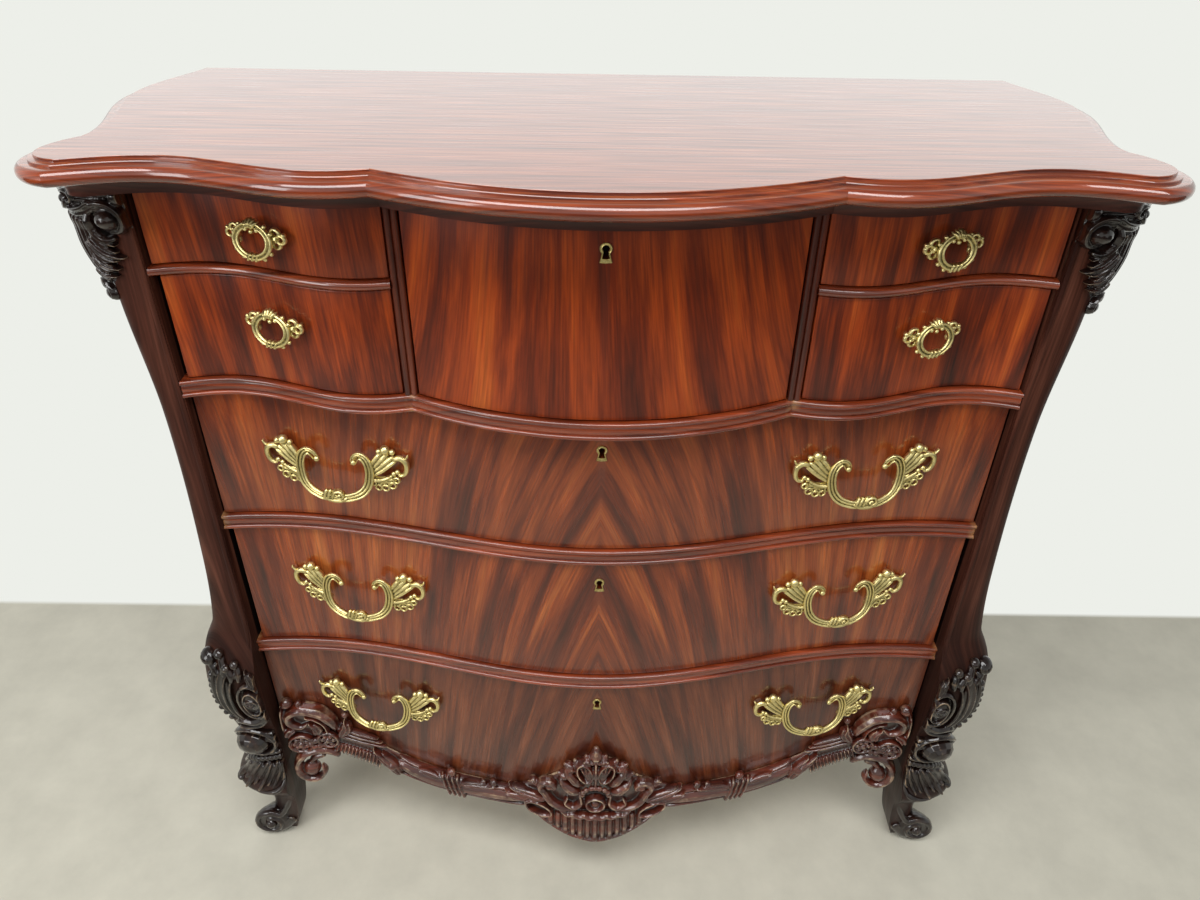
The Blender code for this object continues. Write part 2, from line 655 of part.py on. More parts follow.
def build_front(name, face, x0, x1, lower_edge, z1, wood, parent, keyhole_z=None):
    """Curved drawer front; lower_edge gives its bottom at each place along it."""
    rings = []
    for x in stations(x0, x1):
        front, back, z0 = face(x), face(x) + FRONT_THICKNESS, lower_edge(x)
        rings.append([(x, front, z0), (x, front, z1), (x, back, z1), (x, back, z0)])
    obj = add_object(name, loft(name, rings), wood, parent, smooth=30)
    if keyhole_z is not None:
        combine(obj, "keyhole", keyhole_cutter(face(0.0), keyhole_z), "DIFFERENCE")
    return obj


def keyhole_outline(radius, drop, count):
    """Round head over a flared skirt, as (x, height) points."""
    outline = []
    for turn in spread(-math.pi * 0.28, math.pi * 1.28, count):
        outline.append((radius * math.cos(turn), radius * math.sin(turn)))
    return outline + [(-radius, -drop), (radius, -drop)]


def keyhole_cutter(face_y, z):
    """Solid that cuts a keyhole through a front."""
    rings = []
    for y in (face_y - FRONT_THICKNESS, face_y + 2 * FRONT_THICKNESS):
        outline = keyhole_outline(KEYHOLE_RADIUS, KEYHOLE_RADIUS * 2.8, 8)
        rings.append([(x, y, z + height) for x, height in outline])
    return loft("keyhole", rings)


def build_box(name, face, x0, x1, z0, z1, wood, parent):
    """Drawer box: two sides, a back and a bottom, closed in front by the drawer front."""
    xs = stations(x0, x1)
    edge = [(x, face(x) + FRONT_THICKNESS + SEAT_GAP) for x in xs]
    outline = edge + [(x1, BOX_BACK_Y), (x0, BOX_BACK_Y)]
    tray = add_object(name, prism(name, outline, z0, z1), wood, parent)
    inside = box("inside", (x0 + BOX_WALL, x1 - BOX_WALL), (-DEPTH, BOX_BACK_Y - BOX_WALL),
                 (z0 + BOX_BOTTOM, z1 + BOX_HEADROOM))
    combine(tray, "inside", inside, "DIFFERENCE")
    return tray


def add_drawer_empty(name, x, z):
    """Parent of one drawer, on its line of travel."""
    empty = bpy.data.objects.new(name, None)
    empty.location = (x, FACE_Y, z)
    bpy.context.scene.collection.objects.link(empty)
    return empty


def build_escutcheon(name, face, z, brass, parent):
    """Keyhole plate standing on a drawer front."""
    height = ESCUTCHEON_HEIGHT
    outer = keyhole_outline(height * 0.27, height * 0.66, 9)
    inner = keyhole_outline(KEYHOLE_RADIUS, KEYHOLE_RADIUS * 2.8, 9)
    back = face(0.0) - SEAT_GAP
    front = back - ESCUTCHEON_THICKNESS
    size = len(outer)
    verts = []
    for outline, y in ((outer, back), (outer, front), (inner, front), (inner, back)):
        verts += [(x, y, z + drop) for x, drop in outline]
    faces = []
    for ring in range(4):
        following = (ring + 1) % 4
        for i in range(size):
            j = (i + 1) % size
            faces.append((ring * size + i, ring * size + j, following * size + j, following * size + i))
    add_object(name, make_mesh(name, verts, faces), brass, parent)


def build_lock(name, face, z, iron, parent):
    """Lock case let against the back of a drawer front."""
    half = LOCK_WIDTH / 2
    y0 = face(half) + FRONT_THICKNESS + SEAT_GAP
    mesh = box(name, (-half, half), (y0, y0 + LOCK_DEPTH), (z - LOCK_HEIGHT / 2, z + LOCK_HEIGHT / 2))
    bm = bmesh.new()
    bm.from_mesh(mesh)
    rear = [e for e in bm.edges if all(v.co.y > y0 + LOCK_DEPTH / 2 for v in e.verts)]
    bmesh.ops.bevel(bm, geom=rear, offset=LOCK_DEPTH / 5, segments=1, affect="EDGES")
    bm.to_mesh(mesh)
    bm.free()
    add_object(name, mesh, iron, parent)


def union_mesh(name, base, parts):
    """One mesh made of a base and the lofts that overlap it."""
    target = add_cutter(f"{name}_base", base)
    for i, rings in enumerate(parts):
        combine(target, f"part_{i}", loft(f"{name}_{i}", rings), "UNION")
    graph = bpy.context.evaluated_depsgraph_get()
    mesh = bpy.data.meshes.new_from_object(target.evaluated_get(graph))
    mesh.name = name
    for modifier in list(target.modifiers):
        bpy.data.objects.remove(modifier.object, do_unlink=True)
    bpy.data.objects.remove(target, do_unlink=True)
    return mesh


def scaled(points, across, forward, up):
    """Points written as shares of three sizes, with shares forward standing out towards -Y."""
    return [(across * x, -forward * y, up * z) for x, y, z in points]


def mirrored_rings(rings, sign):
    """Rings on the right-hand side, or turned over to the left."""
    return [[(sign * x, y, z) for x, y, z in ring] for ring in rings]


def fixing_post(x, z):
    """Rings of the round post that holds a pull off the wood."""
    return [[(x + u, y, z + v) for u, v in circle(PULL_POST_RADIUS, 5)]
            for y in (-2 * SEAT_GAP, -PULL_STAND_OFF)]


def large_pull():
    """Cast pull seen from the front: drooping bail with curled ends, and a leaf wing at each end.

    The plane y = 0 touches the drawer front at the two fixing posts.  Its points are shares of half
    the distance between the posts and of the stand-off, its thicknesses shares of the bar.
    """
    foot = LARGE_PULL_POST_SPACING / 2
    bar = LARGE_PULL_BAR_RADIUS
    half = scaled([(-0.28, 1.4, 0.46), (-0.42, 1.55, 0.58), (-0.58, 1.7, 0.54), (-0.67, 2.0, 0.25),
                   (-0.51, 2.7, -0.07), (-0.13, 3.3, -0.22)], foot, PULL_STAND_OFF, foot)
    radii = [bar * share for share in (0.58, 0.87, 0.93, 0.97, 1.0, 1.2)]
    path = half + [(-x, y, z) for x, y, z in reversed(half)]
    bail = loft("bail", tube_rings(path, radii + radii[::-1], 5))
    upper = scaled([(0.63, 1.7, 0.24), (0.84, 1.33, 0.34), (1.10, 1.0, 0.43), (1.40, 1.0, 0.54)],
                   foot, PULL_STAND_OFF, foot)
    lower = scaled([(0.83, 1.3, 0.31), (0.89, 1.2, 0.10), (1.09, 1.0, 0.0), (1.24, 1.0, 0.10)],
                   foot, PULL_STAND_OFF, foot)
    wing = tube_rings(upper, [bar * share for share in (1.0, 2.0, 2.5, 0.5)], 5, 0.40)
    leaf = tube_rings(lower, [bar * share for share in (0.75, 1.4, 1.67, 0.5)], 5, 0.45)
    parts = []
    for _, sign in SIDES:
        parts += [mirrored_rings(wing, sign), mirrored_rings(leaf, sign), fixing_post(sign * foot, foot * 0.36)]
    return union_mesh("large_pull", bail, parts)


def small_pull():
    """Cast ring pull seen from the front: oval ring, crown leaf and a pierced lug at each side.

    Its points are shares of half the distance between the posts, of the stand-off and of the height
    of the ring, its thicknesses shares of the bar.
    """
    foot = SMALL_PULL_POST_SPACING / 2
    bar = RING_BAR_RADIUS
    tall = RING_HALF_HEIGHT
    path = []
    for turn in spread(0.0, 2 * math.pi, 13)[:-1]:
        y = -PULL_STAND_OFF - bar - RING_LEAN * (1 - math.cos(turn)) / 2
        path.append((RING_HALF_WIDTH * math.sin(turn), y, tall * math.cos(turn)))
    ring = loft("ring", tube_rings(path, [bar] * len(path), 5, endless=True), endless=True)
    crown = scaled([(0.0, 1.0, 0.78), (0.0, 1.33, 1.12), (0.0, 1.0, 1.5)], foot, PULL_STAND_OFF, tall)
    parts = [tube_rings(crown, [bar * share for share in (1.67, 2.5, 0.56)], 5, 0.5)]
    front = -PULL_STAND_OFF - bar - RING_LEAN
    collar = [(RING_HALF_WIDTH * share, front, -tall) for share in (-0.27, 0.0, 0.27)]
    parts.append(tube_rings(collar, [bar * share for share in (1.1, 1.6, 1.1)], 5))
    lug = scaled([(0.68, 1.44, 0.20), (1.0, 1.0, 0.25), (1.32, 1.0, 0.40)], foot, PULL_STAND_OFF, tall)
    lug_rings = tube_rings(lug, [bar * share for share in (1.67, 2.64, 1.1)], 5, 0.4)
    for _, sign in SIDES:
        parts += [mirrored_rings(lug_rings, sign), fixing_post(sign * foot, tall / 4)]
    return union_mesh("small_pull", ring, parts)


def place_pull(name, mesh, face, x, z, post_spacing, brass, parent):
    """Set a pull on a curved front so that both of its posts meet the wood."""
    half = post_spacing / 2
    reach = half + PULL_POST_RADIUS
    inner, outer = face(x - half), face(x + half)
    turn = math.atan2(outer - inner, post_spacing)
    nearest = min(face(x + s) - (inner + (outer - inner) * (s + half) / post_spacing)
                  for s in (-reach, half - reach, reach - half, reach))
    obj = add_object(name, mesh, brass, parent)
    obj.matrix_parent_inverse = Matrix.Identity(4)
    obj.location = Vector((x, (inner + outer) / 2 + min(nearest, 0.0), z)) - parent.location
    obj.rotation_euler = (0.0, 0.0, turn)
    return obj


def apron_rows():
    """Right half of the carved apron: place, lower edge, upper edge and relief.

    Heights are measured from the bottom of the carcase, down as shares of the drop of the skirt and
    up as shares of the rise of the brackets.
    """
    shell, band, bracket = APRON_SHELL_RELIEF, APRON_BAND_RELIEF, APRON_BRACKET_RELIEF
    half = APRON_SHELL_HALF
    end, wide = FRONT_HALF, APRON_BRACKET_WIDTH
    shares = [
        (0.0, 1.0, 0.92, shell),
        (0.20 * half, 0.98, 0.79, shell),
        (0.45 * half, 0.87, 0.40, shell * 0.95),
        (0.70 * half, 0.69, 0.04, shell * 0.85),
        (half, 0.63, -0.21, shell * 0.65),
        (half * 1.24, 0.61, -0.34, band),
        (half * 1.65, 0.63, -0.36, band),
        (end - wide, 0.61, -0.21, band),
        (end - wide * 0.75, 0.47, 0.04, band),
        (end - wide * 0.59, 0.36, 0.38, band * 1.1),
        (end - wide * 0.41, 0.24, 0.72, bracket * 0.9),
        (end - wide * 0.27, 0.14, 0.89, bracket),
        (end - wide * 0.14, 0.14, 1.0, bracket),
        (end, 0.29, 0.94, bracket * 0.8),
    ]
    return [(x, -APRON_DROP * low, APRON_RISE * high, relief) for x, low, high, relief in shares]


def apron_scroll(steps):
    """Path of the C-scroll at the right-hand end of the apron, unwinding from its eye to the arch."""
    path = []
    start, sweep = math.radians(130), math.radians(290)
    for turn in spread(0.0, 1.0, steps):
        unwound = APRON_SCROLL_ARCH_REACH - APRON_SCROLL_EYE_REACH
        reach = APRON_SCROLL_EYE_REACH + unwound * (1 - turn) ** 3
        angle = start - sweep * turn
        x = min(FRONT_HALF - APRON_SCROLL_FROM_END + reach * math.cos(angle), FRONT_HALF - APRON_SCROLL_RADIUS)
        z = BASE_Z - APRON_SCROLL_DROP + reach * math.sin(angle)
        path.append((x, lower_face(x) - SEAT_GAP - APRON_SCROLL_RADIUS, z))
    return path


def build_apron(wood, parent):
    """Carved apron: shell and fluted skirt in the middle, moulded band, bracket at each end."""
    half_xs = spread(0.0, APRON_SHELL_HALF, 18) + spread(APRON_SHELL_HALF, FRONT_HALF, 15)[1:]
    rings = []
    for x in [-x for x in reversed(half_xs)] + half_xs[1:]:
        low, high, relief = smooth_through(apron_rows(), abs(x))
        back = lower_face(x) - SEAT_GAP
        tall = high - low
        fade = max(0.0, 1.0 - abs(x) / APRON_SHELL_HALF)
        flute = APRON_FLUTE_DEPTH * min(1.0, 3 * fade) * math.cos(2 * math.pi * x / APRON_FLUTE_PITCH)
        z0, z1 = BASE_Z + low, BASE_Z + high
        rings.append([(x, back, z0), (x, back, z1), (x, back - relief * 0.45, z1 + flute / 2),
                      (x, back - relief, z1 - tall * 0.28), (x, back - relief * 0.8, z0 + tall * 0.45),
                      (x, back - relief + flute / 2, z0 + tall * 0.2), (x, back - relief * 0.5 + flute, z0)])
    apron = add_object("apron_carving", loft("apron_carving", rings), wood, parent, smooth=50)
    path = apron_scroll(11)
    scroll = tube_rings(path, [APRON_SCROLL_RADIUS] * len(path), 6)
    eye_x = FRONT_HALF - APRON_SCROLL_FROM_END
    eye = (eye_x, lower_face(eye_x) - SEAT_GAP - 2 * APRON_SCROLL_RADIUS, BASE_Z - APRON_SCROLL_DROP)
    boss = barrel_rings(eye, APRON_SCROLL_EYE_REACH, 2 * APRON_SCROLL_RADIUS, 10)
    for side, sign in SIDES:
        combine(apron, f"{side}_scroll", loft(f"{side}_scroll", mirrored_rings(scroll, sign)), "UNION")
        combine(apron, f"{side}_eye", loft(f"{side}_eye", mirrored_rings(boss, sign)), "UNION")


def bottom_edge(x):
    """Lower edge of the bottom drawer front, hidden behind the middle of the apron."""
    low, high, _ = smooth_through(apron_rows(), abs(x))
    return BASE_Z + (low + high) / 2


def build_small_drawers(fine_wood, box_wood, brass, pull_mesh):
    """Two small drawers at each side of the upper tier."""
    x_in = PARTITION_X + PARTITION_THICKNESS / 2 + SIDE_CLEAR / 2
    for side, sign in SIDES:
        for tier, z0, z1 in (("upper", SMALL_SHELF_TOP, FRIEZE_Z), ("lower", WAIST_TOP, SMALL_SHELF_Z)):
            name = f"{side}_{tier}_small_drawer"
            x0, x1 = sorted((sign * x_in, sign * FRONT_HALF))
            empty = add_drawer_empty(f"{name}_slide", (x0 + x1) / 2, (z0 + z1) / 2)
            bottom, top = z0 + DRAWER_GAP, z1 - DRAWER_GAP
            build_front(f"{name}_front", upper_face, x0, x1, lambda x: bottom, top, fine_wood, empty)
            build_box(f"{name}_box", upper_face, x0, x1, z0 + SEAT_GAP, z1 - BOX_HEADROOM, box_wood, empty)
            x = sign * (OPENING_HALF - SMALL_PULL_FROM_POST)
            place_pull(f"{name}_pull", pull_mesh, upper_face, x, z1 - SMALL_PULL_DROP,
                       SMALL_PULL_POST_SPACING, brass, empty)


def build_hat_drawer(fine_wood, box_wood, brass, iron):
    """Deep bowed drawer between the partitions, opened by its key."""
    half = PARTITION_X - PARTITION_THICKNESS / 2 - SIDE_CLEAR / 2
    empty = add_drawer_empty("hat_drawer_slide", 0.0, (WAIST_TOP + FRIEZE_Z) / 2)
    key_z = FRIEZE_Z - KEY_DROP
    bottom = WAIST_TOP + DRAWER_GAP
    build_front("hat_drawer_front", upper_face, -half, half, lambda x: bottom, FRIEZE_Z - DRAWER_GAP,
                fine_wood, empty, key_z)
    build_box("hat_drawer_box", upper_face, -half, half, WAIST_TOP + SEAT_GAP, FRIEZE_Z - BOX_HEADROOM,
              box_wood, empty)
    build_escutcheon("hat_drawer_escutcheon", upper_face, key_z, brass, empty)
    build_lock("hat_drawer_lock", upper_face, key_z, iron, empty)


def build_long_drawers(fine_wood, box_wood, carved_wood, brass, iron, pull_mesh):
    """Three long drawers; the bottom one carries the apron."""
    for tier, z0, z1 in (("upper", MIDDLE_TOP, WAIST_Z), ("middle", LOWER_TOP, MIDDLE_Z),
                         ("bottom", BASE_TOP, LOWER_Z)):
        name = f"{tier}_long_drawer"
        empty = add_drawer_empty(f"{name}_slide", 0.0, (z0 + z1) / 2)
        key_z = z1 - KEY_DROP
        lower_edge = bottom_edge if tier == "bottom" else lambda x: z0 + DRAWER_GAP
        build_front(f"{name}_front", lower_face, -FRONT_HALF, FRONT_HALF, lower_edge, z1 - DRAWER_GAP,
                    fine_wood, empty, key_z)
        build_box(f"{name}_box", lower_face, -FRONT_HALF, FRONT_HALF, z0 + SEAT_GAP, z1 - BOX_HEADROOM,
                  box_wood, empty)
        build_escutcheon(f"{name}_escutcheon", lower_face, key_z, brass, empty)
        build_lock(f"{name}_lock", lower_face, key_z, iron, empty)
        for side, sign in SIDES:
            x = sign * (OPENING_HALF - LARGE_PULL_FROM_POST)
            place_pull(f"{name}_{side}_pull", pull_mesh, lower_face, x, z1 - LARGE_PULL_DROP,
                       LARGE_PULL_POST_SPACING, brass, empty)
        if tier == "bottom":
            build_apron(carved_wood, empty)


def main():
    """Build every piece of the chest."""
    clear_scene()
    mahogany = make_material("polished_mahogany", (0.130, 0.030, 0.014), 0.28, 0.0)
    veneer = make_material("figured_mahogany_veneer", (0.160, 0.036, 0.014), 0.25, 0.0)
    ebonised = make_material("ebonised_mahogany", (0.030, 0.014, 0.010), 0.35, 0.0)
    carved = make_material("carved_mahogany", (0.070, 0.020, 0.012), 0.38, 0.0)
    lining = make_material("drawer_lining_oak", (0.420, 0.270, 0.140), 0.60, 0.0)
    brass = make_material("antique_brass", (0.480, 0.360, 0.150), 0.38, 1.0)
    iron = make_material("lock_iron", (0.120, 0.110, 0.100), 0.50, 1.0)
    build_top(mahogany)
    build_friezes(ebonised)
    build_front_posts(ebonised)
    build_capitals(ebonised)
    build_rear_posts(mahogany)
    build_side_panels(mahogany)
    build_back_panel(lining)
    build_rails(mahogany)
    build_dustboards(lining)
    build_partitions(mahogany)
    build_small_shelves(mahogany)
    build_small_drawers(veneer, lining, brass, small_pull())
    build_hat_drawer(veneer, lining, brass, iron)
    build_long_drawers(veneer, lining, carved, brass, iron, large_pull())


if __name__ == "__main__":
    main()
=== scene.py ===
"""Looks of a serpentine chest of drawers in polished and carved mahogany with cast brass pulls.

Metres, +Z up, the front towards -Y.  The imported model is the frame.  Every visible piece is built on
the plan curves of the chest and rides on the case or on one of the eight drawers.
"""
from __future__ import annotations

import logging
import math
from dataclasses import dataclass, field
from enum import Enum
from typing import Callable, Sequence

import bmesh
import bpy
import numpy as np
from bpy.types import Material, Mesh, Node, NodeSocket, NodeTree, Object
from mathutils import Matrix, Vector

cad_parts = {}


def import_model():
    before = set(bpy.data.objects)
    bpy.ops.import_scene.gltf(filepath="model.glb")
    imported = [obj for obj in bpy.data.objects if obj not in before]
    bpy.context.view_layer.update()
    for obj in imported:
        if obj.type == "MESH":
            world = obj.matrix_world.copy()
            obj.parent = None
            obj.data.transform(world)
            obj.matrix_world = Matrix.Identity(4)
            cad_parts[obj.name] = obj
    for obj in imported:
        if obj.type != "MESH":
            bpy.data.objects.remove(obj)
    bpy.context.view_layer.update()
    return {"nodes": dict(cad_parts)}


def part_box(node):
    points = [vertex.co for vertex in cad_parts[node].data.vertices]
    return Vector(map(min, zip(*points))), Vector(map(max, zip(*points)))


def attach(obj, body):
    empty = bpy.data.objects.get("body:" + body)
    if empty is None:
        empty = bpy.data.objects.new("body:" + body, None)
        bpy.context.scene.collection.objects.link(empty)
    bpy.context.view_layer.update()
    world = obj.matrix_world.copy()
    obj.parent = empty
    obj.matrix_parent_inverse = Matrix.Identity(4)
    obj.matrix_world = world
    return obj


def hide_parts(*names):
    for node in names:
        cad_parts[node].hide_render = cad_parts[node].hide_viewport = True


LOG = logging.getLogger("chest")

Point = Sequence[float]
Ring = list[Point]
Face = Callable[[float], float]
SIDES = (("left", -1), ("right", 1))
LONG_TIERS = ("upper", "middle", "bottom")
UP = Vector((0.0, 0.0, 1.0))
RELIEF_ROUNDS = 14


def spread(start: float, end: float, count: int) -> list[float]:
    """Evenly spaced values from start to end, both included."""
    return [start + (end - start) * i / (count - 1) for i in range(count)]


def wave(position: float, start: float, end: float, at_start: float, at_end: float) -> float:
    """Value at a position on a cosine with a crest at one place and the next trough at another."""
    phase = math.pi * (position - start) / (end - start)
    return (at_start + at_end) / 2 + (at_start - at_end) / 2 * math.cos(phase)


def through(rows: Sequence[Point], key: float) -> list[float]:
    """Read every column of a table, keyed by its first column, on a smooth curve.

    Args:
        rows: Rows in rising order of their first value.
        key: Where to read the table.

    Returns:
        The other columns at the key.
    """
    low = max(i for i in range(len(rows) - 1) if rows[i][0] <= key or i == 0)
    before, start = rows[max(low - 1, 0)], rows[low]
    end, after = rows[low + 1], rows[min(low + 2, len(rows) - 1)]
    span = end[0] - start[0]
    t = min(max((key - start[0]) / span, 0.0), 1.0)
    values = []
    for column in range(1, len(start)):
        slope_in = (end[column] - before[column]) / (end[0] - before[0]) * span
        slope_out = (after[column] - start[column]) / (after[0] - start[0]) * span
        values.append((2 * t ** 3 - 3 * t ** 2 + 1) * start[column] + (t ** 3 - 2 * t ** 2 + t) * slope_in
                      + (3 * t ** 2 - 2 * t ** 3) * end[column] + (t ** 3 - t ** 2) * slope_out)
    return values


def curve(points: Sequence[Point], step: float, closed: bool = False) -> np.ndarray:
    """Smooth curve through points.

    Args:
        points: Points to pass through, of any number of coordinates.
        step: Distance between the samples.
        closed: Whether the curve runs back to its first point.

    Returns:
        Samples of the curve, one row each.
    """
    base = np.array(points, float)
    if closed:
        ends = np.concatenate([base[-1:], base, base[:2]])
    else:
        ends = np.concatenate([2 * base[:1] - base[1:2], base, 2 * base[-1:] - base[-2:-1]])
    samples = []
    for i in range(len(ends) - 3):
        a, b, c, d = ends[i:i + 4]
        count = max(2, int(np.linalg.norm(c - b) / step) + 1)
        t = np.linspace(0.0, 1.0, count, endpoint=False)[:, None]
        samples.append(0.5 * (2 * b + (c - a) * t + (2 * a - 5 * b + 4 * c - d) * t ** 2
                              + (3 * b - a - 3 * c + d) * t ** 3))
    if not closed:
        samples.append(base[-1:])
    return np.concatenate(samples)


def spiral(centre: Point, radii: tuple[float, float], turns: tuple[float, float], count: int = 14) -> list[Point]:
    """Points of a spiral.

    Args:
        centre: Its eye, across and up.
        radii: Distance from the eye at the start and at the end.
        turns: Angle at the start and at the end, in degrees.
        count: How many points.

    Returns:
        The points, across and up.
    """
    points = []
    for t in spread(0.0, 1.0, count):
        reach = radii[0] + (radii[1] - radii[0]) * t
        angle = math.radians(turns[0] + (turns[1] - turns[0]) * t)
        points.append((centre[0] + reach * math.cos(angle), centre[1] + reach * math.sin(angle)))
    return points


def linear(hex_colour: str) -> tuple[float, float, float, float]:
    """Linear colour of an sRGB hex value.

    Args:
        hex_colour: Colour such as "#7a3b1e".

    Returns:
        Red, green, blue and alpha.
    """
    parts = [int(hex_colour[i:i + 2], 16) / 255 for i in (1, 3, 5)]
    red, green, blue = (p / 12.92 if p <= 0.04045 else ((p + 0.055) / 1.055) ** 2.4 for p in parts)
    return red, green, blue, 1.0


def feed(tree: NodeTree, node: Node, inputs: dict[str | int, object]) -> None:
    """Set or link the inputs of a node.

    Args:
        tree: Node tree that holds the node.
        node: The node.
        inputs: Value, or output socket of another node, for each input.
    """
    for key, value in inputs.items():
        if isinstance(value, NodeSocket):
            tree.links.new(value, node.inputs[key])
        else:
            node.inputs[key].default_value = value


def add_node(tree: NodeTree, kind: str, inputs: dict[str | int, object], out: str | int = 0,
             stops: Sequence[tuple[float, str]] = (), **settings: object) -> NodeSocket:
    """Add a node with its settings and links.

    Args:
        tree: Node tree that takes the node.
        kind: Type of the node.
        inputs: Value, or output socket of another node, for each input.
        out: Which of its outputs is wanted.
        stops: Place and hex colour of each stop, for a node with a colour ramp.
        **settings: Properties of the node.

    Returns:
        The output.
    """
    node = tree.nodes.new(kind)
    for key, value in settings.items():
        setattr(node, key, value)
    feed(tree, node, inputs)
    if stops:
        ramp = node.color_ramp
        while len(ramp.elements) < len(stops):
            ramp.elements.new(1.0)
        for element, (place, colour) in zip(ramp.elements, stops):
            element.position = place
            element.color = linear(colour)
    return node.outputs[out]


class Draft:
    """Mesh that is put together from lofts, strokes and balls."""

    def __init__(self) -> None:
        """Start empty."""
        self.verts: list[Point] = []
        self.faces: list[tuple[int, ...]] = []

    def loft(self, rings: Sequence[Ring], endless: bool = False) -> Draft:
        """Add a closed body through rings.

        Args:
            rings: Rings with equal numbers of points.
            endless: Whether the last ring joins the first, in place of two caps.

        Returns:
            This draft.
        """
        size, base, count = len(rings[0]), len(self.verts), len(rings)
        for ring in rings:
            self.verts.extend(tuple(point) for point in ring)
        for level in range(count if endless else count - 1):
            low = base + level * size
            high = base + (level + 1) % count * size
            for i in range(size):
                j = (i + 1) % size
                self.faces.append((low + i, low + j, high + j, high + i))
        if not endless:
            self.faces.append(tuple(range(base, base + size)))
            self.faces.append(tuple(range(base + (count - 1) * size, base + count * size)))
        return self

    def mesh(self) -> Mesh:
        """Finished mesh with its faces turned outwards.

        Returns:
            The mesh.
        """
        mesh = bpy.data.meshes.new("draft")
        mesh.from_pydata(self.verts, [], self.faces)
        bm = bmesh.new()
        bm.from_mesh(mesh)
        bmesh.ops.recalc_face_normals(bm, faces=bm.faces)
        bm.to_mesh(mesh)
        bm.free()
        return mesh


def lofted(rings: Sequence[Ring], endless: bool = False) -> Mesh:
    """Mesh of one closed body through rings, or of an endless one."""
    return Draft().loft(rings, endless).mesh()


def prism(outline: Sequence[Point], z0: float, z1: float) -> Mesh:
    """Mesh of an upright body between two heights on an outline in plan."""
    return lofted([[(x, y, z) for x, y in outline] for z in (z0, z1)])


def evaluated(mesh: Mesh, modifiers: Sequence[tuple[str, dict[str, object]]]) -> Mesh:
    """Mesh after a row of modifiers.

    Args:
        mesh: Mesh to start from, which is used up.
        modifiers: Type and settings of each modifier.

    Returns:
        A new mesh.
    """
    helper = bpy.data.objects.new("helper", mesh)
    bpy.context.scene.collection.objects.link(helper)
    for kind, settings in modifiers:
        modifier = helper.modifiers.new(kind.lower(), kind)
        for key, value in settings.items():
            setattr(modifier, key, value)
    graph = bpy.context.evaluated_depsgraph_get()
    result = bpy.data.meshes.new_from_object(helper.evaluated_get(graph))
    bpy.data.objects.remove(helper, do_unlink=True)
    bpy.data.meshes.remove(mesh)
    return result


def cut(mesh: Mesh, cutter: Mesh) -> Mesh:
    """Mesh with another body cut out of it.

    Args:
        mesh: Mesh to cut, which is used up.
        cutter: Body to cut with, which is used up.

    Returns:
        A new mesh.
    """
    tool = bpy.data.objects.new("cutter", cutter)
    bpy.context.scene.collection.objects.link(tool)
    settings = {"operation": "DIFFERENCE", "solver": "EXACT", "object": tool}
    result = evaluated(mesh, [("BOOLEAN", settings)])
    bpy.data.objects.remove(tool, do_unlink=True)
    bpy.data.meshes.remove(cutter)
    return result


def fused(draft: Draft, voxel: float, rounds: int, share: float) -> Mesh:
    """One skin round overlapping bodies, eased as a worn carving is.

    Args:
        draft: The overlapping bodies.
        voxel: Size of the skin's cells.
        rounds: How often the skin is smoothed.
        share: Share of the faces that is kept.

    Returns:
        The skin, with its relief as a point attribute.
    """
    steps = [("REMESH", {"mode": "VOXEL", "voxel_size": voxel}),
             ("SMOOTH", {"factor": 0.5, "iterations": rounds}),
             ("DECIMATE", {"ratio": share})]
    mesh = evaluated(draft.mesh(), steps)
    mark_relief(mesh, voxel)
    return mesh


def mark_relief(mesh: Mesh, cell: float) -> None:
    """Store how far each point stands above its neighbourhood, as the attribute relief.

    Args:
        mesh: Mesh of a carving.
        cell: Usual distance between its points, in which the relief is measured.
    """
    count = len(mesh.vertices)
    places = np.empty(count * 3)
    normals = np.empty(count * 3)
    ends = np.empty(len(mesh.edges) * 2, dtype=np.int64)
    mesh.vertices.foreach_get("co", places)
    mesh.vertices.foreach_get("normal", normals)
    mesh.edges.foreach_get("vertices", ends)
    places, normals, ends = places.reshape(-1, 3), normals.reshape(-1, 3), ends.reshape(-1, 2)
    degree = np.maximum(np.bincount(ends.ravel(), minlength=count), 1)[:, None]
    level = places.copy()
    for _ in range(RELIEF_ROUNDS):
        total = np.stack([np.bincount(ends[:, 0], level[ends[:, 1], k], count)
                          + np.bincount(ends[:, 1], level[ends[:, 0], k], count) for k in range(3)], axis=1)
        level = total / degree
    relief = ((places - level) * normals).sum(axis=1) / cell
    attribute = mesh.attributes.new("relief", "FLOAT", "POINT")
    attribute.data.foreach_set("value", relief.astype(np.float32))


def on_side(mesh: Mesh, sign: int) -> Mesh:
    """Copy of a right-hand mesh for one side of the chest.

    Args:
        mesh: The mesh.
        sign: -1 on the left, 1 on the right.

    Returns:
        The copy, turned over where the side is the left one.
    """
    copy = mesh.copy()
    if sign < 0:
        copy.transform(Matrix.Scale(-1.0, 4, Vector((1.0, 0.0, 0.0))))
        copy.flip_normals()
    return copy


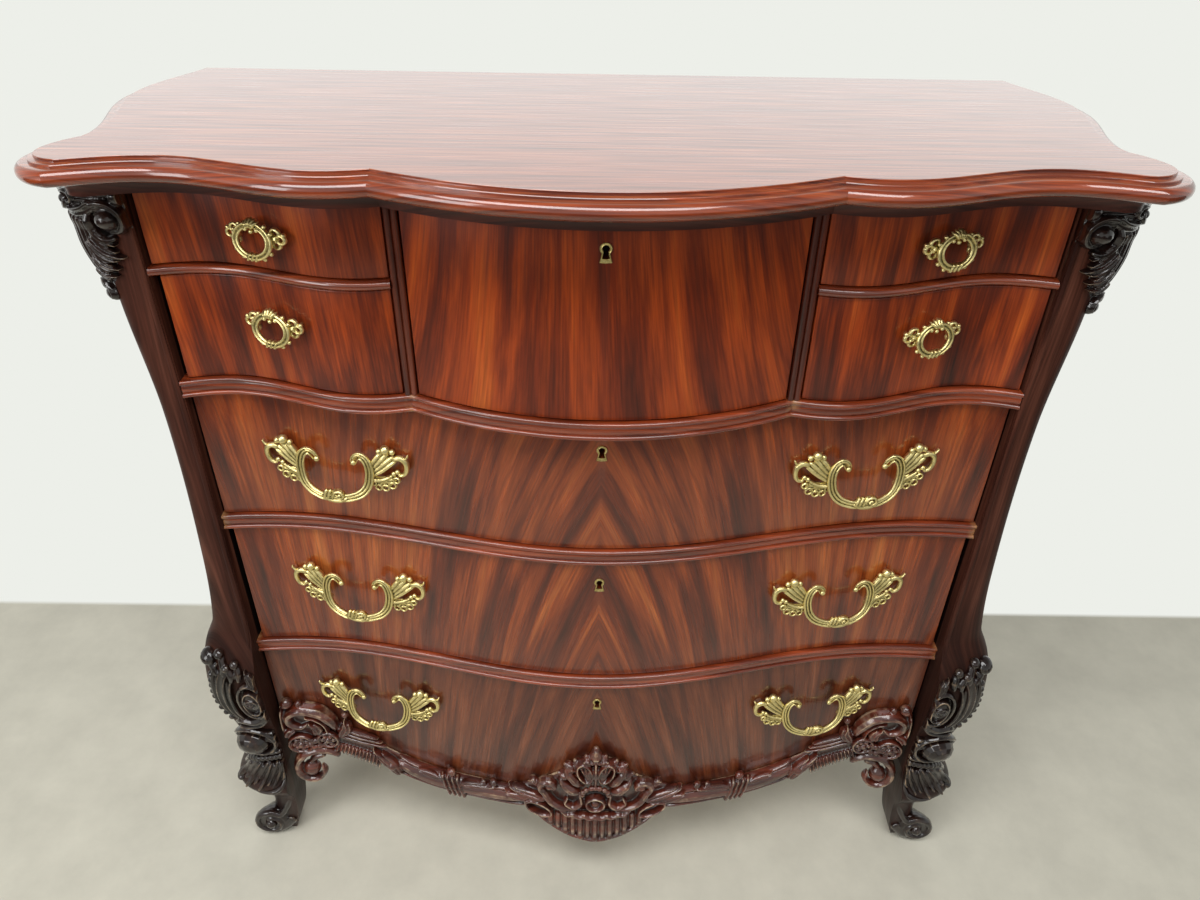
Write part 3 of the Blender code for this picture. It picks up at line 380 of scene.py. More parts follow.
@dataclass(frozen=True)
class Plan:
    """Plan curves and profile of the chest, which every piece follows."""

    half_width: float = 0.630
    back_y: float = 0.280
    face_y: float = -0.103
    opening_half: float = 0.533
    seat_gap: float = 0.0003
    top_overhang: float = 0.089
    corner_lobe: float = 0.068
    lobe_reach: float = 0.041
    partition_x: float = 0.237
    shoulder_x: float = 0.290
    upper_hollow_x: float = 0.470
    upper_bow: float = 0.088
    upper_shoulder: float = 0.035
    upper_hollow: float = 0.010
    lower_hollow_x: float = 0.460
    lower_bow: float = 0.060
    lower_hollow: float = 0.012
    side_waist_inset: float = 0.038
    side_waist_from_face: float = 0.045
    side_half_wave: float = 0.190
    post_depth: float = 0.045
    post_width: float = 0.104
    post_roundness: float = 0.7
    base_z: float = 0.246
    post_top_z: float = 1.2097

    @property
    def post_back_y(self) -> float:
        """Back of the front posts."""
        return self.face_y + self.post_depth

    def upper_face(self, x: float) -> float:
        """Drawer faces of the upper tier: a bow between the partitions, an ogee beyond each.

        Args:
            x: Place across the chest.

        Returns:
            Depth of the face there.
        """
        x = abs(x)
        ogee = (self.shoulder_x, self.upper_hollow_x, -self.upper_shoulder, self.upper_hollow)
        if x >= self.partition_x:
            return self.face_y + wave(x, *ogee)
        cusp = wave(self.partition_x, *ogee)
        return self.face_y - self.upper_bow + (self.upper_bow + cusp) * (x / self.partition_x) ** 2

    def lower_face(self, x: float) -> float:
        """Faces of the long drawers: one serpentine wave."""
        return self.face_y + wave(abs(x), 0.0, self.lower_hollow_x, -self.lower_bow, self.lower_hollow)

    def side_edge(self, y: float) -> float:
        """Outermost edge of the top along its sides."""
        start, waist = self.face_y + self.side_waist_from_face, self.half_width - self.side_waist_inset
        return wave(y, start, start + self.side_half_wave, waist, self.half_width)

    def top_half(self, inset: float, y_end: float, steps: int) -> list[tuple[float, float]]:
        """Edge of the top from the middle of the front round to the right-hand side.

        Args:
            inset: Distance in from the outermost edge.
            y_end: Where the run along the side ends.
            steps: Points on each stretch.

        Returns:
            Points in plan.
        """
        corner_x = self.half_width - self.corner_lobe - inset / 5
        xs = spread(0.0, self.partition_x, steps) + spread(self.partition_x, corner_x, 2 * steps)[1:]
        points = [(x, self.upper_face(x) - self.top_overhang + inset) for x in xs]
        side_y = self.face_y + self.side_waist_from_face / 4
        reach = self.lobe_reach - inset / 5
        start, end = Vector(points[-1]), Vector((self.side_edge(side_y) - inset, side_y))
        first = start + Vector((reach, reach / 6))
        second = end + Vector((reach, -reach * 1.3))
        for t in spread(0.0, 1.0, steps)[1:]:
            s = 1 - t
            points.append(tuple(start * s ** 3 + first * 3 * s * s * t + second * 3 * s * t * t + end * t ** 3))
        points += [(self.side_edge(y) - inset, y) for y in spread(side_y, y_end, steps)[1:]]
        return points

    def post_rows(self) -> list[Point]:
        """Profile of a front post.

        Returns:
            Rows of height, outward and front reach, inner and back edge.
        """
        leg, tall = self.base_z, self.post_top_z - self.base_z
        shares = [
            (0.0, 0.50, 0.09, 0.23, 0.93), (0.14 * leg, 0.54, -0.04, 0.115, 0.955),
            (0.32 * leg, 0.44, -0.09, 0.05, 0.98), (0.48 * leg, 0.48, -0.18, 0.03, 1.0),
            (0.57 * leg, 0.73, -0.53, 0.01, 1.0), (0.67 * leg, 0.90, -0.755, 0.0, 1.0),
            (0.80 * leg, 0.70, -0.40, 0.0, 1.0), (leg, 0.68, -0.27, 0.0, 1.0),
            (leg + 0.06 * tall, 0.83, -0.40, 0.0, 1.0), (leg + 0.13 * tall, 1.0, -0.62, 0.0, 1.0),
            (leg + 0.20 * tall, 0.95, -0.755, 0.0, 1.0), (leg + 0.24 * tall, 0.865, -0.53, 0.0, 1.0),
            (leg + 0.29 * tall, 0.67, -0.22, 0.0, 1.0), (leg + 0.46 * tall, 0.51, -0.13, 0.0, 1.0),
            (leg + 0.68 * tall, 0.46, -0.09, 0.0, 1.0), (leg + 0.87 * tall, 0.575, -0.18, 0.0, 1.0),
            (self.post_top_z, 0.46, -0.22, 0.0, 1.0),
        ]
        return [(z, self.post_width * o, self.post_depth * f, self.post_width * i, self.post_depth * b)
                for z, o, f, i, b in shares]

    def post_arc(self, z: float, proud: float, count: int, wide: float = 0.0) -> list[Point]:
        """Rounded front corner of the right-hand post at one height.

        Args:
            z: Height.
            proud: How far the arc stands off the post.
            count: Points on the arc.
            wide: How much further than that it reaches outwards.

        Returns:
            Points from the inner edge of the front round to the back of the side.
        """
        outer, front, inner, back = through(self.post_rows(), z)
        points = []
        for turn in spread(0.0, math.pi / 2, count):
            across = (outer - inner + proud + wide) * math.sin(turn) ** self.post_roundness
            forward = (back - front + proud) * max(math.cos(turn), 0.0) ** self.post_roundness
            points.append((self.opening_half + inner + across, self.face_y + back - forward, z))
        return points


class Figure(Enum):
    """How the grain of a piece of wood runs: across and along it, as directions in the chest's frame."""

    ALONG_X = ((0.0, 1.0, 0.6), (1.0, 0.0, 0.0))
    RAIL = ((0.0, 0.6, 1.0), (1.0, 0.0, 0.0))
    UPRIGHT = ((0.7, 1.0, 0.0), (0.0, 0.0, 1.0))
    RIBBON = ((1.0, 0.0, 0.02), (0.0, 0.0, 1.0))
    BOOKMATCHED = ((1.0, 0.0, 0.0), (0.0, 0.0, 1.0))


class Finish:
    """Finish of a piece, as a procedural material that is made once."""

    name: str

    def material(self) -> Material:
        """Material of this finish.

        Returns:
            The material, made at the first call.
        """
        known = bpy.data.materials.get(self.name)
        if known is not None:
            return known
        material = bpy.data.materials.new(self.name)
        material.use_nodes = True
        tree = material.node_tree
        place = add_node(tree, "ShaderNodeTexCoord", {}, "Object")
        self.paint(tree, tree.nodes["Principled BSDF"], place)
        return material

    def paint(self, tree: NodeTree, shader: Node, place: NodeSocket) -> None:
        """Build the nodes of this finish between the coordinates of a surface and its shader."""
        raise NotImplementedError


@dataclass(frozen=True)
class Mahogany(Finish):
    """French-polished mahogany: a deep red-brown with ribbon figure under a clear glossy film.

    The stripes give broad bands of orange and near-black brown, the fibres a fine streak along them,
    and the shellac film sharp reflections over a softer sheen.
    """

    name: str
    figure: Figure
    tones: tuple[str, str, str, str]
    worn: str = "#a8794f"
    # Near-black colour of the painted shade in recesses, used where shade is set
    recess_shade: str = "#120806"
    stripe_mm: float = 26.0
    stretch: float = 9.0
    fibre_mm: float = 2.4
    fibre_stretch: float = 45.0
    roughness: float = 0.30
    film: float = 0.5
    film_roughness: float = 0.08
    specular: float = 0.5
    wear: float = 0.0
    rubbed_from: float = 0.75
    rubbed_to: float = 1.9
    shade: float = 0.0
    low_colour: str = "#1c100d"
    darken_from: float = 0.0
    darken_to: float = 0.0
    darken_share: float = 0.75
    patch_mm: float = 18.0
    lean: tuple[float, float] = (0.0, 0.0)
    lean_reach: float = 0.50
    lean_level: float = 0.62

    def paint(self, tree: NodeTree, shader: Node, place: NodeSocket) -> None:
        """Stripes, fibres, wear, painted shade in recesses and film of this wood; the fibres are drawn coarser than
        real, so that they show.

        Args:
            tree: Node tree of the material.
            shader: Its surface shader.
            place: Coordinates of the surface.
        """
        grain = self.grain(tree, place)
        stripe, fine = 1000 / self.stripe_mm, 1000 / self.fibre_mm
        stripe_scale, fibre_scale = (stripe, stripe / self.stretch, 1.0), (fine, fine / self.fibre_stretch, 1.0)
        stripes_at = add_node(tree, "ShaderNodeVectorMath", {0: grain, 1: stripe_scale}, operation="MULTIPLY")
        stripes = add_node(tree, "ShaderNodeTexNoise", {
            "Vector": stripes_at, "Scale": 1.0, "Detail": 7.0, "Roughness": 0.62, "Distortion": 0.25})
        fibres_at = add_node(tree, "ShaderNodeVectorMath", {0: grain, 1: fibre_scale}, operation="MULTIPLY")
        fibres = add_node(tree, "ShaderNodeTexNoise", {"Vector": fibres_at, "Scale": 1.0, "Detail": 2.0})
        figure = add_node(tree, "ShaderNodeValToRGB", {"Fac": stripes},
                          stops=list(zip((0.30, 0.45, 0.57, 0.72), self.tones)))
        streak = add_node(tree, "ShaderNodeMapRange", {
            "Value": fibres, "From Min": 0.3, "From Max": 0.7, "To Min": 0.62, "To Max": 1.18})
        colour = add_node(tree, "ShaderNodeMix", {
            "Factor": 1.0, 6: figure, 7: streak}, 2, data_type="RGBA", blend_type="MULTIPLY")
        gloss = add_node(tree, "ShaderNodeMapRange", {
            "Value": fibres, "From Min": 0.3, "From Max": 0.7, "To Min": self.roughness + 0.05,
            "To Max": self.roughness - 0.04})
        bump = add_node(tree, "ShaderNodeBump", {"Height": fibres, "Strength": 0.04, "Distance": 0.001})
        feed(tree, shader, {
            "Base Color": self.worn_and_shaded(tree, place, colour), "Roughness": gloss, "Normal": bump, "IOR": 1.5,
            "Specular IOR Level": self.specular, "Coat Weight": self.film, "Coat Roughness": self.film_roughness})

    def grain(self, tree: NodeTree, place: NodeSocket) -> NodeSocket:
        """Place across and along the grain.

        Bookmatched leaves mirror each other at the middle line; the lean of the stripes changes along the chest.

        Args:
            tree: Node tree of the wood.
            place: Coordinates of the surface.

        Returns:
            A vector of the place across the grain and the place along it.
        """
        if self.figure is Figure.BOOKMATCHED:
            place = add_node(tree, "ShaderNodeVectorMath", {0: place}, operation="ABSOLUTE")
        across, along = (add_node(tree, "ShaderNodeVectorMath", {0: place, 1: way}, "Value", operation="DOT_PRODUCT")
                         for way in self.figure.value)
        if any(self.lean):
            lean = add_node(tree, "ShaderNodeMapRange", {
                "Value": across, "From Max": self.lean_reach, "To Min": self.lean[0], "To Max": self.lean[1]},
                clamp=False)
            rise = add_node(tree, "ShaderNodeMath", {0: along, 1: self.lean_level}, operation="SUBTRACT")
            across = add_node(tree, "ShaderNodeMath", {0: lean, 1: rise, 2: across}, operation="MULTIPLY_ADD")
        return add_node(tree, "ShaderNodeCombineXYZ", {"X": across, "Y": along})

    def worn_and_shaded(self, tree: NodeTree, place: NodeSocket, colour: NodeSocket) -> NodeSocket:
        """Colour darker towards the bottom, with rubbed high places and painted shade darkening the recesses.

        Args:
            tree: Node tree of the wood.
            place: Coordinates of the surface.
            colour: Colour of the sound wood.

        Returns:
            The worn and shaded colour.
        """
        # Colour darker towards the bottom, between two heights
        if self.darken_from:
            height = add_node(tree, "ShaderNodeSeparateXYZ", {"Vector": place}, "Z")
            darkened_low = add_node(tree, "ShaderNodeMapRange", {
                "Value": height, "From Min": self.darken_from, "From Max": self.darken_to, "To Max": self.darken_share})
            colour = add_node(tree, "ShaderNodeMix", {
                "Factor": darkened_low, 6: colour, 7: linear(self.low_colour)}, 2, data_type="RGBA")
        if not self.wear and not self.shade:
            return colour
        relief = add_node(tree, "ShaderNodeAttribute", {}, "Fac", attribute_name="relief")
        # Painted shade: the hollows of the relief are darkened towards a near-black colour
        low = add_node(tree, "ShaderNodeMapRange", {
            "Value": relief, "From Min": -0.1, "From Max": -1.4, "To Max": self.shade})
        colour = add_node(tree, "ShaderNodeMix", {
            "Factor": low, 6: colour, 7: linear(self.recess_shade)}, 2, data_type="RGBA")
        patches = add_node(tree, "ShaderNodeTexNoise", {
            "Vector": place, "Scale": 1000 / self.patch_mm, "Detail": 3.0})
        patchy = add_node(tree, "ShaderNodeMapRange", {"Value": patches, "From Min": 0.40, "From Max": 0.58})
        high = add_node(tree, "ShaderNodeMapRange", {
            "Value": relief, "From Min": self.rubbed_from, "From Max": self.rubbed_to, "To Max": self.wear})
        rubbed = add_node(tree, "ShaderNodeMath", {0: high, 1: patchy}, operation="MULTIPLY")
        return add_node(tree, "ShaderNodeMix", {
            "Factor": rubbed, 6: colour, 7: linear(self.worn)}, 2, data_type="RGBA")


@dataclass(frozen=True)
class CastBrass(Finish):
    """Sand-cast brass, lacquered long ago: yellow where it is handled, grey-green in the hollows.

    The grit of the sand is drawn coarser than real, so that it shows.
    """

    name: str = "antique_cast_brass"
    bright: str = "#efdfa0"
    body: str = "#c4b274"
    tarnish: str = "#4a4630"
    grit_mm: float = 2.5

    def paint(self, tree: NodeTree, shader: Node, place: NodeSocket) -> None:
        """Colour, dullness and unevenness of this brass.

        Args:
            tree: Node tree of the material.
            shader: Its surface shader.
            place: Coordinates of the surface.
        """
        grit = add_node(tree, "ShaderNodeTexNoise", {"Vector": place, "Scale": 1000 / self.grit_mm, "Detail": 3.0})
        relief = add_node(tree, "ShaderNodeAttribute", {}, "Fac", attribute_name="relief")
        uneven = add_node(tree, "ShaderNodeMapRange", {"Value": grit, "To Min": -0.8, "To Max": 0.8})
        level = add_node(tree, "ShaderNodeMath", {0: relief, 1: uneven}, operation="ADD")
        share = add_node(tree, "ShaderNodeMapRange", {"Value": level, "From Min": -1.6, "From Max": 1.6})
        colour = add_node(tree, "ShaderNodeValToRGB", {"Fac": share},
                          stops=[(0.22, self.tarnish), (0.46, self.body), (0.70, self.bright)])
        dull = add_node(tree, "ShaderNodeMapRange", {"Value": share, "To Min": 0.55, "To Max": 0.26})
        bump = add_node(tree, "ShaderNodeBump", {"Height": grit, "Strength": 0.15, "Distance": 0.0005})
        feed(tree, shader, {"Base Color": colour, "Roughness": dull, "Normal": bump, "Metallic": 1.0})


@dataclass(frozen=True)
class LiningOak(Finish):
    """Planed oak left bare inside the carcase: pale straw brown, dull, with open streaks along each board."""

    name: str = "bare_lining_oak"
    pale: str = "#b08a5a"
    dark: str = "#7d5a34"
    ray_mm: float = 7.0
    ray_stretch: float = 30.0

    def paint(self, tree: NodeTree, shader: Node, place: NodeSocket) -> None:
        """Colour, dullness and unevenness of this oak.

        Args:
            tree: Node tree of the material.
            shader: Its surface shader.
            place: Coordinates of the surface.
        """
        fine = 1000 / self.ray_mm
        coarse = fine / self.ray_stretch
        facing = add_node(tree, "ShaderNodeNewGeometry", {}, "True Normal")
        sideways = add_node(tree, "ShaderNodeVectorMath", {
            0: facing, 1: (1.0, 0.0, 0.0)}, "Value", operation="DOT_PRODUCT")
        sideways = add_node(tree, "ShaderNodeMath", {0: sideways}, operation="ABSOLUTE")
        sideways = add_node(tree, "ShaderNodeMath", {0: sideways, 1: 0.7}, operation="GREATER_THAN")
        scales = {"Factor": sideways, 4: (coarse, fine, fine), 5: (fine, coarse, fine)}
        scale = add_node(tree, "ShaderNodeMix", scales, 1, data_type="VECTOR")
        stretched = add_node(tree, "ShaderNodeVectorMath", {0: place, 1: scale}, operation="MULTIPLY")
        rays = add_node(tree, "ShaderNodeTexNoise", {"Vector": stretched, "Scale": 1.0, "Detail": 4.0})
        colour = add_node(tree, "ShaderNodeValToRGB", {"Fac": rays}, stops=[(0.32, self.dark), (0.62, self.pale)])
        bump = add_node(tree, "ShaderNodeBump", {"Height": rays, "Strength": 0.1, "Distance": 0.001})
        feed(tree, shader, {"Base Color": colour, "Normal": bump, "Roughness": 0.65})


@dataclass(frozen=True)
class LockIron(Finish):
    """Forged iron of the lock cases: dark grey, dull, browned by rust in patches."""

    name: str = "forged_lock_iron"
    bare: str = "#4a4846"
    rust: str = "#3a2418"
    scale_mm: float = 9.0

    def paint(self, tree: NodeTree, shader: Node, place: NodeSocket) -> None:
        """Colour, dullness and unevenness of this iron.

        Args:
            tree: Node tree of the material.
            shader: Its surface shader.
            place: Coordinates of the surface.
        """
        patches = add_node(tree, "ShaderNodeTexNoise", {
            "Vector": place, "Scale": 1000 / self.scale_mm, "Detail": 5.0})
        colour = add_node(tree, "ShaderNodeValToRGB", {"Fac": patches}, stops=[(0.42, self.rust), (0.58, self.bare)])
        feed(tree, shader, {"Base Color": colour, "Roughness": 0.5, "Metallic": 0.8})


# Planed and French-polished board: fine straight streaks under a soft shine
TOP_WOOD = Mahogany(
    "polished_mahogany_top", Figure.ALONG_X, ("#5c2511", "#783419", "#934824", "#ab5d32"),
    stripe_mm=7.0, stretch=40.0, film=0.9, film_roughness=0.12, roughness=0.30)
# Moulded edge of the same board: redder end grain with a sharp line of light
EDGE_WOOD = Mahogany(
    "polished_mahogany_edge", Figure.RAIL, ("#4a170a", "#6c2810", "#8c3a18", "#a44c22"),
    stripe_mm=9.0, stretch=30.0, film=1.0, film_roughness=0.06, roughness=0.24)
# Dark cove: near-black brown, dull, so that it recedes under the top
DARK_WOOD = Mahogany(
    "dark_mahogany_cove", Figure.RAIL, ("#28100a", "#3a160e", "#4c1f14", "#5e2d1e"),
    stripe_mm=9.0, stretch=30.0, film=0.2, roughness=0.45, specular=0.3)
# Scraped beads: thin bright lines, rubbed to pale wood near their ends
MOULDING_WOOD = Mahogany(
    "polished_mahogany_mouldings", Figure.RAIL, ("#46170c", "#6c2a13", "#8a3a1c", "#a44a28"),
    stripe_mm=12.0, stretch=16.0, film=0.9, film_roughness=0.06, roughness=0.26, wear=0.85)
# Reeded uprights: darker, with the grain upright
UPRIGHT_WOOD = Mahogany(
    "polished_mahogany_uprights", Figure.UPRIGHT, ("#30110a", "#4c1c0f", "#642a17", "#7a3620"),
    stripe_mm=10.0, stretch=30.0)
# Painted shade on the post cheeks: near-black, no shine, so that the gaps beside the drawers stay dark
REVEAL_SHADE = Mahogany(
    "painted_shade_mahogany_reveals", Figure.UPRIGHT, ("#090504", "#0e0706", "#130908", "#190c0a"),
    stripe_mm=14.0, stretch=40.0, roughness=0.7, film=0.0, specular=0.1)
# Broad polished boards of the sides and back: wide, quiet bands
SIDE_WOOD = Mahogany(
    "polished_mahogany_sides", Figure.UPRIGHT, ("#33130b", "#552111", "#743119", "#8c4324"),
    stripe_mm=40.0, stretch=14.0)
# Knife-cut veneer: ribbons of orange and near-black that fan out over the bow
HAT_VENEER = Mahogany(
    "curved_stripe_mahogany_veneer", Figure.RIBBON, ("#36120a", "#6e260c", "#a04012", "#bd5d1e"),
    stripe_mm=42.0, stretch=14.0, roughness=0.34, film=0.12, specular=0.3, lean=(0.0, 0.55), lean_level=1.18)
# The same veneer laid almost upright, with a little more shine
RIBBON_VENEER = Mahogany(
    "ribbon_stripe_mahogany_veneer", Figure.RIBBON, ("#2e0f08", "#66240d", "#983c12", "#ba5a22"),
    stripe_mm=30.0, stretch=12.0, roughness=0.34, film=0.2, specular=0.35, lean=(0.0, -0.05), lean_level=1.10)
# Bookmatched veneer: flames that lean away from the middle line on both sides
FLAME_VENEER = Mahogany(
    "bookmatched_flame_mahogany_veneer", Figure.BOOKMATCHED, ("#34130a", "#662811", "#90421b", "#b5652f"),
    stripe_mm=32.0, stretch=14.0, film=0.35, lean=(0.38, -0.06))
# The same flames on the lowest drawer, darker and browner as painted shade
SHADED_FLAME_VENEER = Mahogany(
    "bookmatched_flame_mahogany_veneer_painted_shade", Figure.BOOKMATCHED, ("#2b120b", "#532414", "#733a20", "#935638"),
    stripe_mm=32.0, stretch=14.0, film=0.35, lean=(0.38, -0.06))
# Dark polished posts: a grey-brown sheen, the colour turning near-black towards the bottom
POST_WOOD = Mahogany(
    "dark_polished_mahogany_posts", Figure.UPRIGHT, ("#2a130e", "#402017", "#563024", "#6b4032"),
    stripe_mm=14.0, stretch=40.0, roughness=0.50, film=0.0, specular=0.12, darken_from=0.64, darken_to=0.46)
# Ebonised legs behind the carving: nearly black, with a faint shine
LEG_WOOD = Mahogany(
    "ebonised_mahogany_legs", Figure.UPRIGHT, ("#140a08", "#21100c", "#2e1812", "#3c2219"),
    stripe_mm=16.0, stretch=20.0, roughness=0.42, film=0.1, specular=0.25)
# Ebonised carving: hollows darkened to black as painted shade, small hard glints, grey-brown where it is rubbed
EBONISED_WOOD = Mahogany(
    "ebonised_mahogany_carvings", Figure.UPRIGHT, ("#0d0706", "#170b09", "#22120e", "#301b14"),
    stripe_mm=16.0, stretch=20.0, roughness=0.32, film=1.0, film_roughness=0.04, specular=0.15, wear=0.9,
    rubbed_from=0.7, rubbed_to=1.7, shade=0.9, worn="#a88e72")
# Carved and waxed apron: red-brown, darkened in the cuts as painted shade, pale on the rubbed crests
CARVED_WOOD = Mahogany(
    "carved_mahogany_apron", Figure.RAIL, ("#2c100a", "#461a10", "#5e2617", "#703421"),
    stripe_mm=16.0, stretch=12.0, roughness=0.32, film=1.0, film_roughness=0.07, specular=0.4, wear=1.0,
    rubbed_from=0.85, rubbed_to=1.8, shade=0.9, worn="#d2b796")
BRASS = CastBrass()
OAK = LiningOak()
IRON = LockIron()


def show(name: str, mesh: Mesh, finish: Finish, body: str,
         replaced: Sequence[str] = (), sharp: float | None = 35.0) -> Object:
    """Put a finished piece in the scene.

    Args:
        name: Name of the piece.
        mesh: Its mesh, in the chest's frame.
        finish: Its finish.
        body: Body of the frame that carries it.
        replaced: Nodes of the frame that it stands for.
        sharp: Angle from which edges stay sharp, in degrees, or None for no sharp edges.

    Returns:
        The object.
    """
    mesh.name = name
    piece = bpy.data.objects.new(name, mesh)
    bpy.context.scene.collection.objects.link(piece)
    mesh.materials.clear()
    mesh.materials.append(finish.material())
    mesh.shade_smooth()
    if sharp is not None:
        mesh.set_sharp_from_angle(angle=math.radians(sharp))
    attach(piece, body)
    if replaced:
        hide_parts(*replaced)
    LOG.info("%s: %d faces on %s", name, len(mesh.polygons), body)
    return piece


def mirrored(half: Sequence[tuple[float, float]]) -> list[tuple[float, float]]:
    """Whole outline from its right half, which starts on the middle line."""
    return list(half) + [(-x, y) for x, y in reversed(half) if abs(x) > 1e-6]


class Carver:
    """Strokes of a carving laid on a curved face.

    All lengths are in millimetres: a place on the face is (u, v), and lift is the height off it.
    While turn is -1, every stroke comes out mirrored at u = 0.
    """

    step = 0.0018
    ball_sides = 14
    ball_pole = 0.12

    def __init__(self, place: Callable[[np.ndarray], np.ndarray], draft: Draft, sides: int = 10) -> None:
        """Start on a face.

        Args:
            place: Turns rows of (u, v, lift), in metres, into points of the chest's frame.
            draft: Mesh that takes the strokes.
            sides: Points round each stroke.
        """
        self.place = place
        self.draft = draft
        self.sides = sides
        self.turn = 1

    def add(self, rings: Sequence[np.ndarray], endless: bool = False) -> None:
        """Lay a body on the face through rings of rows of (u, v, lift), in metres."""
        places = self.place(np.concatenate(rings) * (self.turn, 1, 1))
        self.draft.loft(places.reshape(len(rings), -1, 3).tolist(), endless)

    def stroke(self, points: Sequence[Point], width: float | Sequence[float], height: float | Sequence[float],
               lift: float | Sequence[float] = 0.0, sink: float = 0.5, closed: bool = False,
               shift: float = 0.0) -> None:
        """Rounded ridge along a curve.

        Args:
            points: Places that the ridge passes through.
            width: Its width, or widths from start to end.
            height: How far it stands off, or heights from start to end.
            lift: Height of its middle off the face, or heights from start to end.
            sink: Depth below its middle as a share of the height.
            closed: Whether it runs back to its start.
            shift: Distance to the left of the points at which it runs.
        """
        path = curve(np.array([(p[0], p[1]) for p in points]) / 1000, self.step, closed)
        along = np.linspace(0.0, 1.0, len(path))
        wide, tall, base = (np.interp(along, np.linspace(0.0, 1.0, np.size(v)), np.atleast_1d(v) / 1000)
                            for v in (width, height, lift))
        ahead = np.roll(path, -1, 0) - np.roll(path, 1, 0) if closed else np.gradient(path, axis=0)
        ahead /= np.maximum(np.linalg.norm(ahead, axis=1), 1e-9)[:, None]
        across = np.stack([-ahead[:, 1], ahead[:, 0]], axis=1)
        path = path + across * (shift / 1000)
        if not closed:
            ends = np.sqrt(np.clip(1.0 - np.abs(2 * along - 1.0) ** 12, 0.02, 1.0))
            wide, tall = wide * ends, tall * ends
        angles = np.linspace(0.0, 2 * math.pi, self.sides, endpoint=False)
        rings = []
        for i, middle in enumerate(path):
            rise = np.sin(angles) * tall[i]
            rise[rise < 0] *= sink
            flat = middle + across[i] * (np.cos(angles) * wide[i] / 2)[:, None]
            rings.append(np.concatenate([flat, (base[i] + rise)[:, None]], axis=1))
        self.add(rings, closed)

    def ball(self, u: float, v: float, radius: float, lift: float = 0.0, stretch: float = 1.0) -> None:
        """Round boss.

        Args:
            u: Its place along the face.
            v: Its place up the face.
            radius: Its radius.
            lift: Height of its middle off the face.
            stretch: Height of the boss as a share of its width.
        """
        u, v, radius, lift = (length / 1000 for length in (u, v, radius, lift))
        angles = np.linspace(0.0, 2 * math.pi, self.ball_sides, endpoint=False)
        rings = []
        for tilt in spread(self.ball_pole, math.pi - self.ball_pole, 9):
            reach = radius * math.sin(tilt)
            rise = np.full(self.ball_sides, lift + radius * math.cos(tilt))
            rings.append(np.stack([u + reach * np.cos(angles), v + stretch * reach * np.sin(angles), rise], axis=1))
        self.add(rings)

    def oval(self, u: float, v: float, reach_u: float, reach_v: float, bar: float, height: float,
             lift: float = 0.0, tilt: float = 0.0) -> None:
        """Ridge round an oval.

        Args:
            u: Middle of the oval along the face.
            v: Middle of the oval up the face.
            reach_u: Half its width.
            reach_v: Half its height.
            bar: Width of the ridge.
            height: How far the ridge stands off.
            lift: Height of the ridge's middle off the face.
            tilt: Turn of the oval, in degrees.
        """
        turn = math.radians(tilt)
        points = []
        for a in spread(0.0, 2 * math.pi, 17)[:-1]:
            x, y = reach_u * math.cos(a), reach_v * math.sin(a)
            points.append((u + x * math.cos(turn) - y * math.sin(turn), v + x * math.sin(turn) + y * math.cos(turn)))
        self.stroke(points, bar, height, lift, closed=True)

    def leaf(self, points: Sequence[Point], width: float, flutes: int, height: float, lift: float = 0.0,
             flare: Sequence[float] = (0.45, 1.0, 0.9, 0.25)) -> None:
        """Acanthus leaf: parallel flutes that swell from its root and close at its tip.

        Args:
            points: Midrib from root to tip.
            width: Greatest width of the leaf.
            flutes: How many flutes lie side by side.
            height: How far they stand off.
            lift: Height of the leaf off the face.
            flare: Width along the leaf, as shares.
        """
        path = curve(points, 4.0)
        along = np.linspace(0.0, 1.0, len(path))
        ahead = np.gradient(path[:, :2], axis=0)
        ahead /= np.maximum(np.linalg.norm(ahead, axis=1), 1e-9)[:, None]
        across = np.stack([-ahead[:, 1], ahead[:, 0]], axis=1)
        spreadings = np.interp(along, np.linspace(0.0, 1.0, len(flare)), flare)
        pitch = width / flutes
        for k in range(flutes):
            offset = (k - (flutes - 1) / 2) * pitch
            stop = max(4, int(len(path) * (1.0 - 0.22 * abs(offset) / (width / 2 + 1e-9))))
            line = path[:stop, :2] + across[:stop] * (offset * spreadings[:stop])[:, None]
            crown = height * (1.0 - 0.35 * (abs(offset) / (width / 2 + 1e-9)) ** 2)
            self.stroke(line[::2], (pitch * np.array(flare) * 1.25).tolist(), crown, lift)

    def rosette(self, u: float, v: float, radius: float, petals: int, lift: float = 0.0) -> None:
        """Flower of petals round a boss inside a ring.

        Args:
            u: Its place along the face.
            v: Its place up the face.
            radius: Its radius.
            petals: How many petals.
            lift: Height off the face.
        """
        self.oval(u, v, radius, radius, radius * 0.34, radius * 0.40, lift)
        for k in range(petals):
            a = 2 * math.pi * k / petals
            self.ball(u + radius * 0.56 * math.cos(a), v + radius * 0.56 * math.sin(a), radius * 0.24,
                      lift + radius * 0.16)
        self.ball(u, v, radius * 0.30, lift + radius * 0.25)

    def pearls(self, points: Sequence[Point], radius: float, count: int, lift: float = 0.0) -> None:
        """Row of pearls.

        Args:
            points: Places that the row passes through.
            radius: Radius of a pearl.
            count: How many pearls.
            lift: Height of their middles off the face.
        """
        path = curve(points, 2.0)
        for k in spread(0, len(path) - 1, count):
            self.ball(*path[int(round(k))][:2], radius, lift)


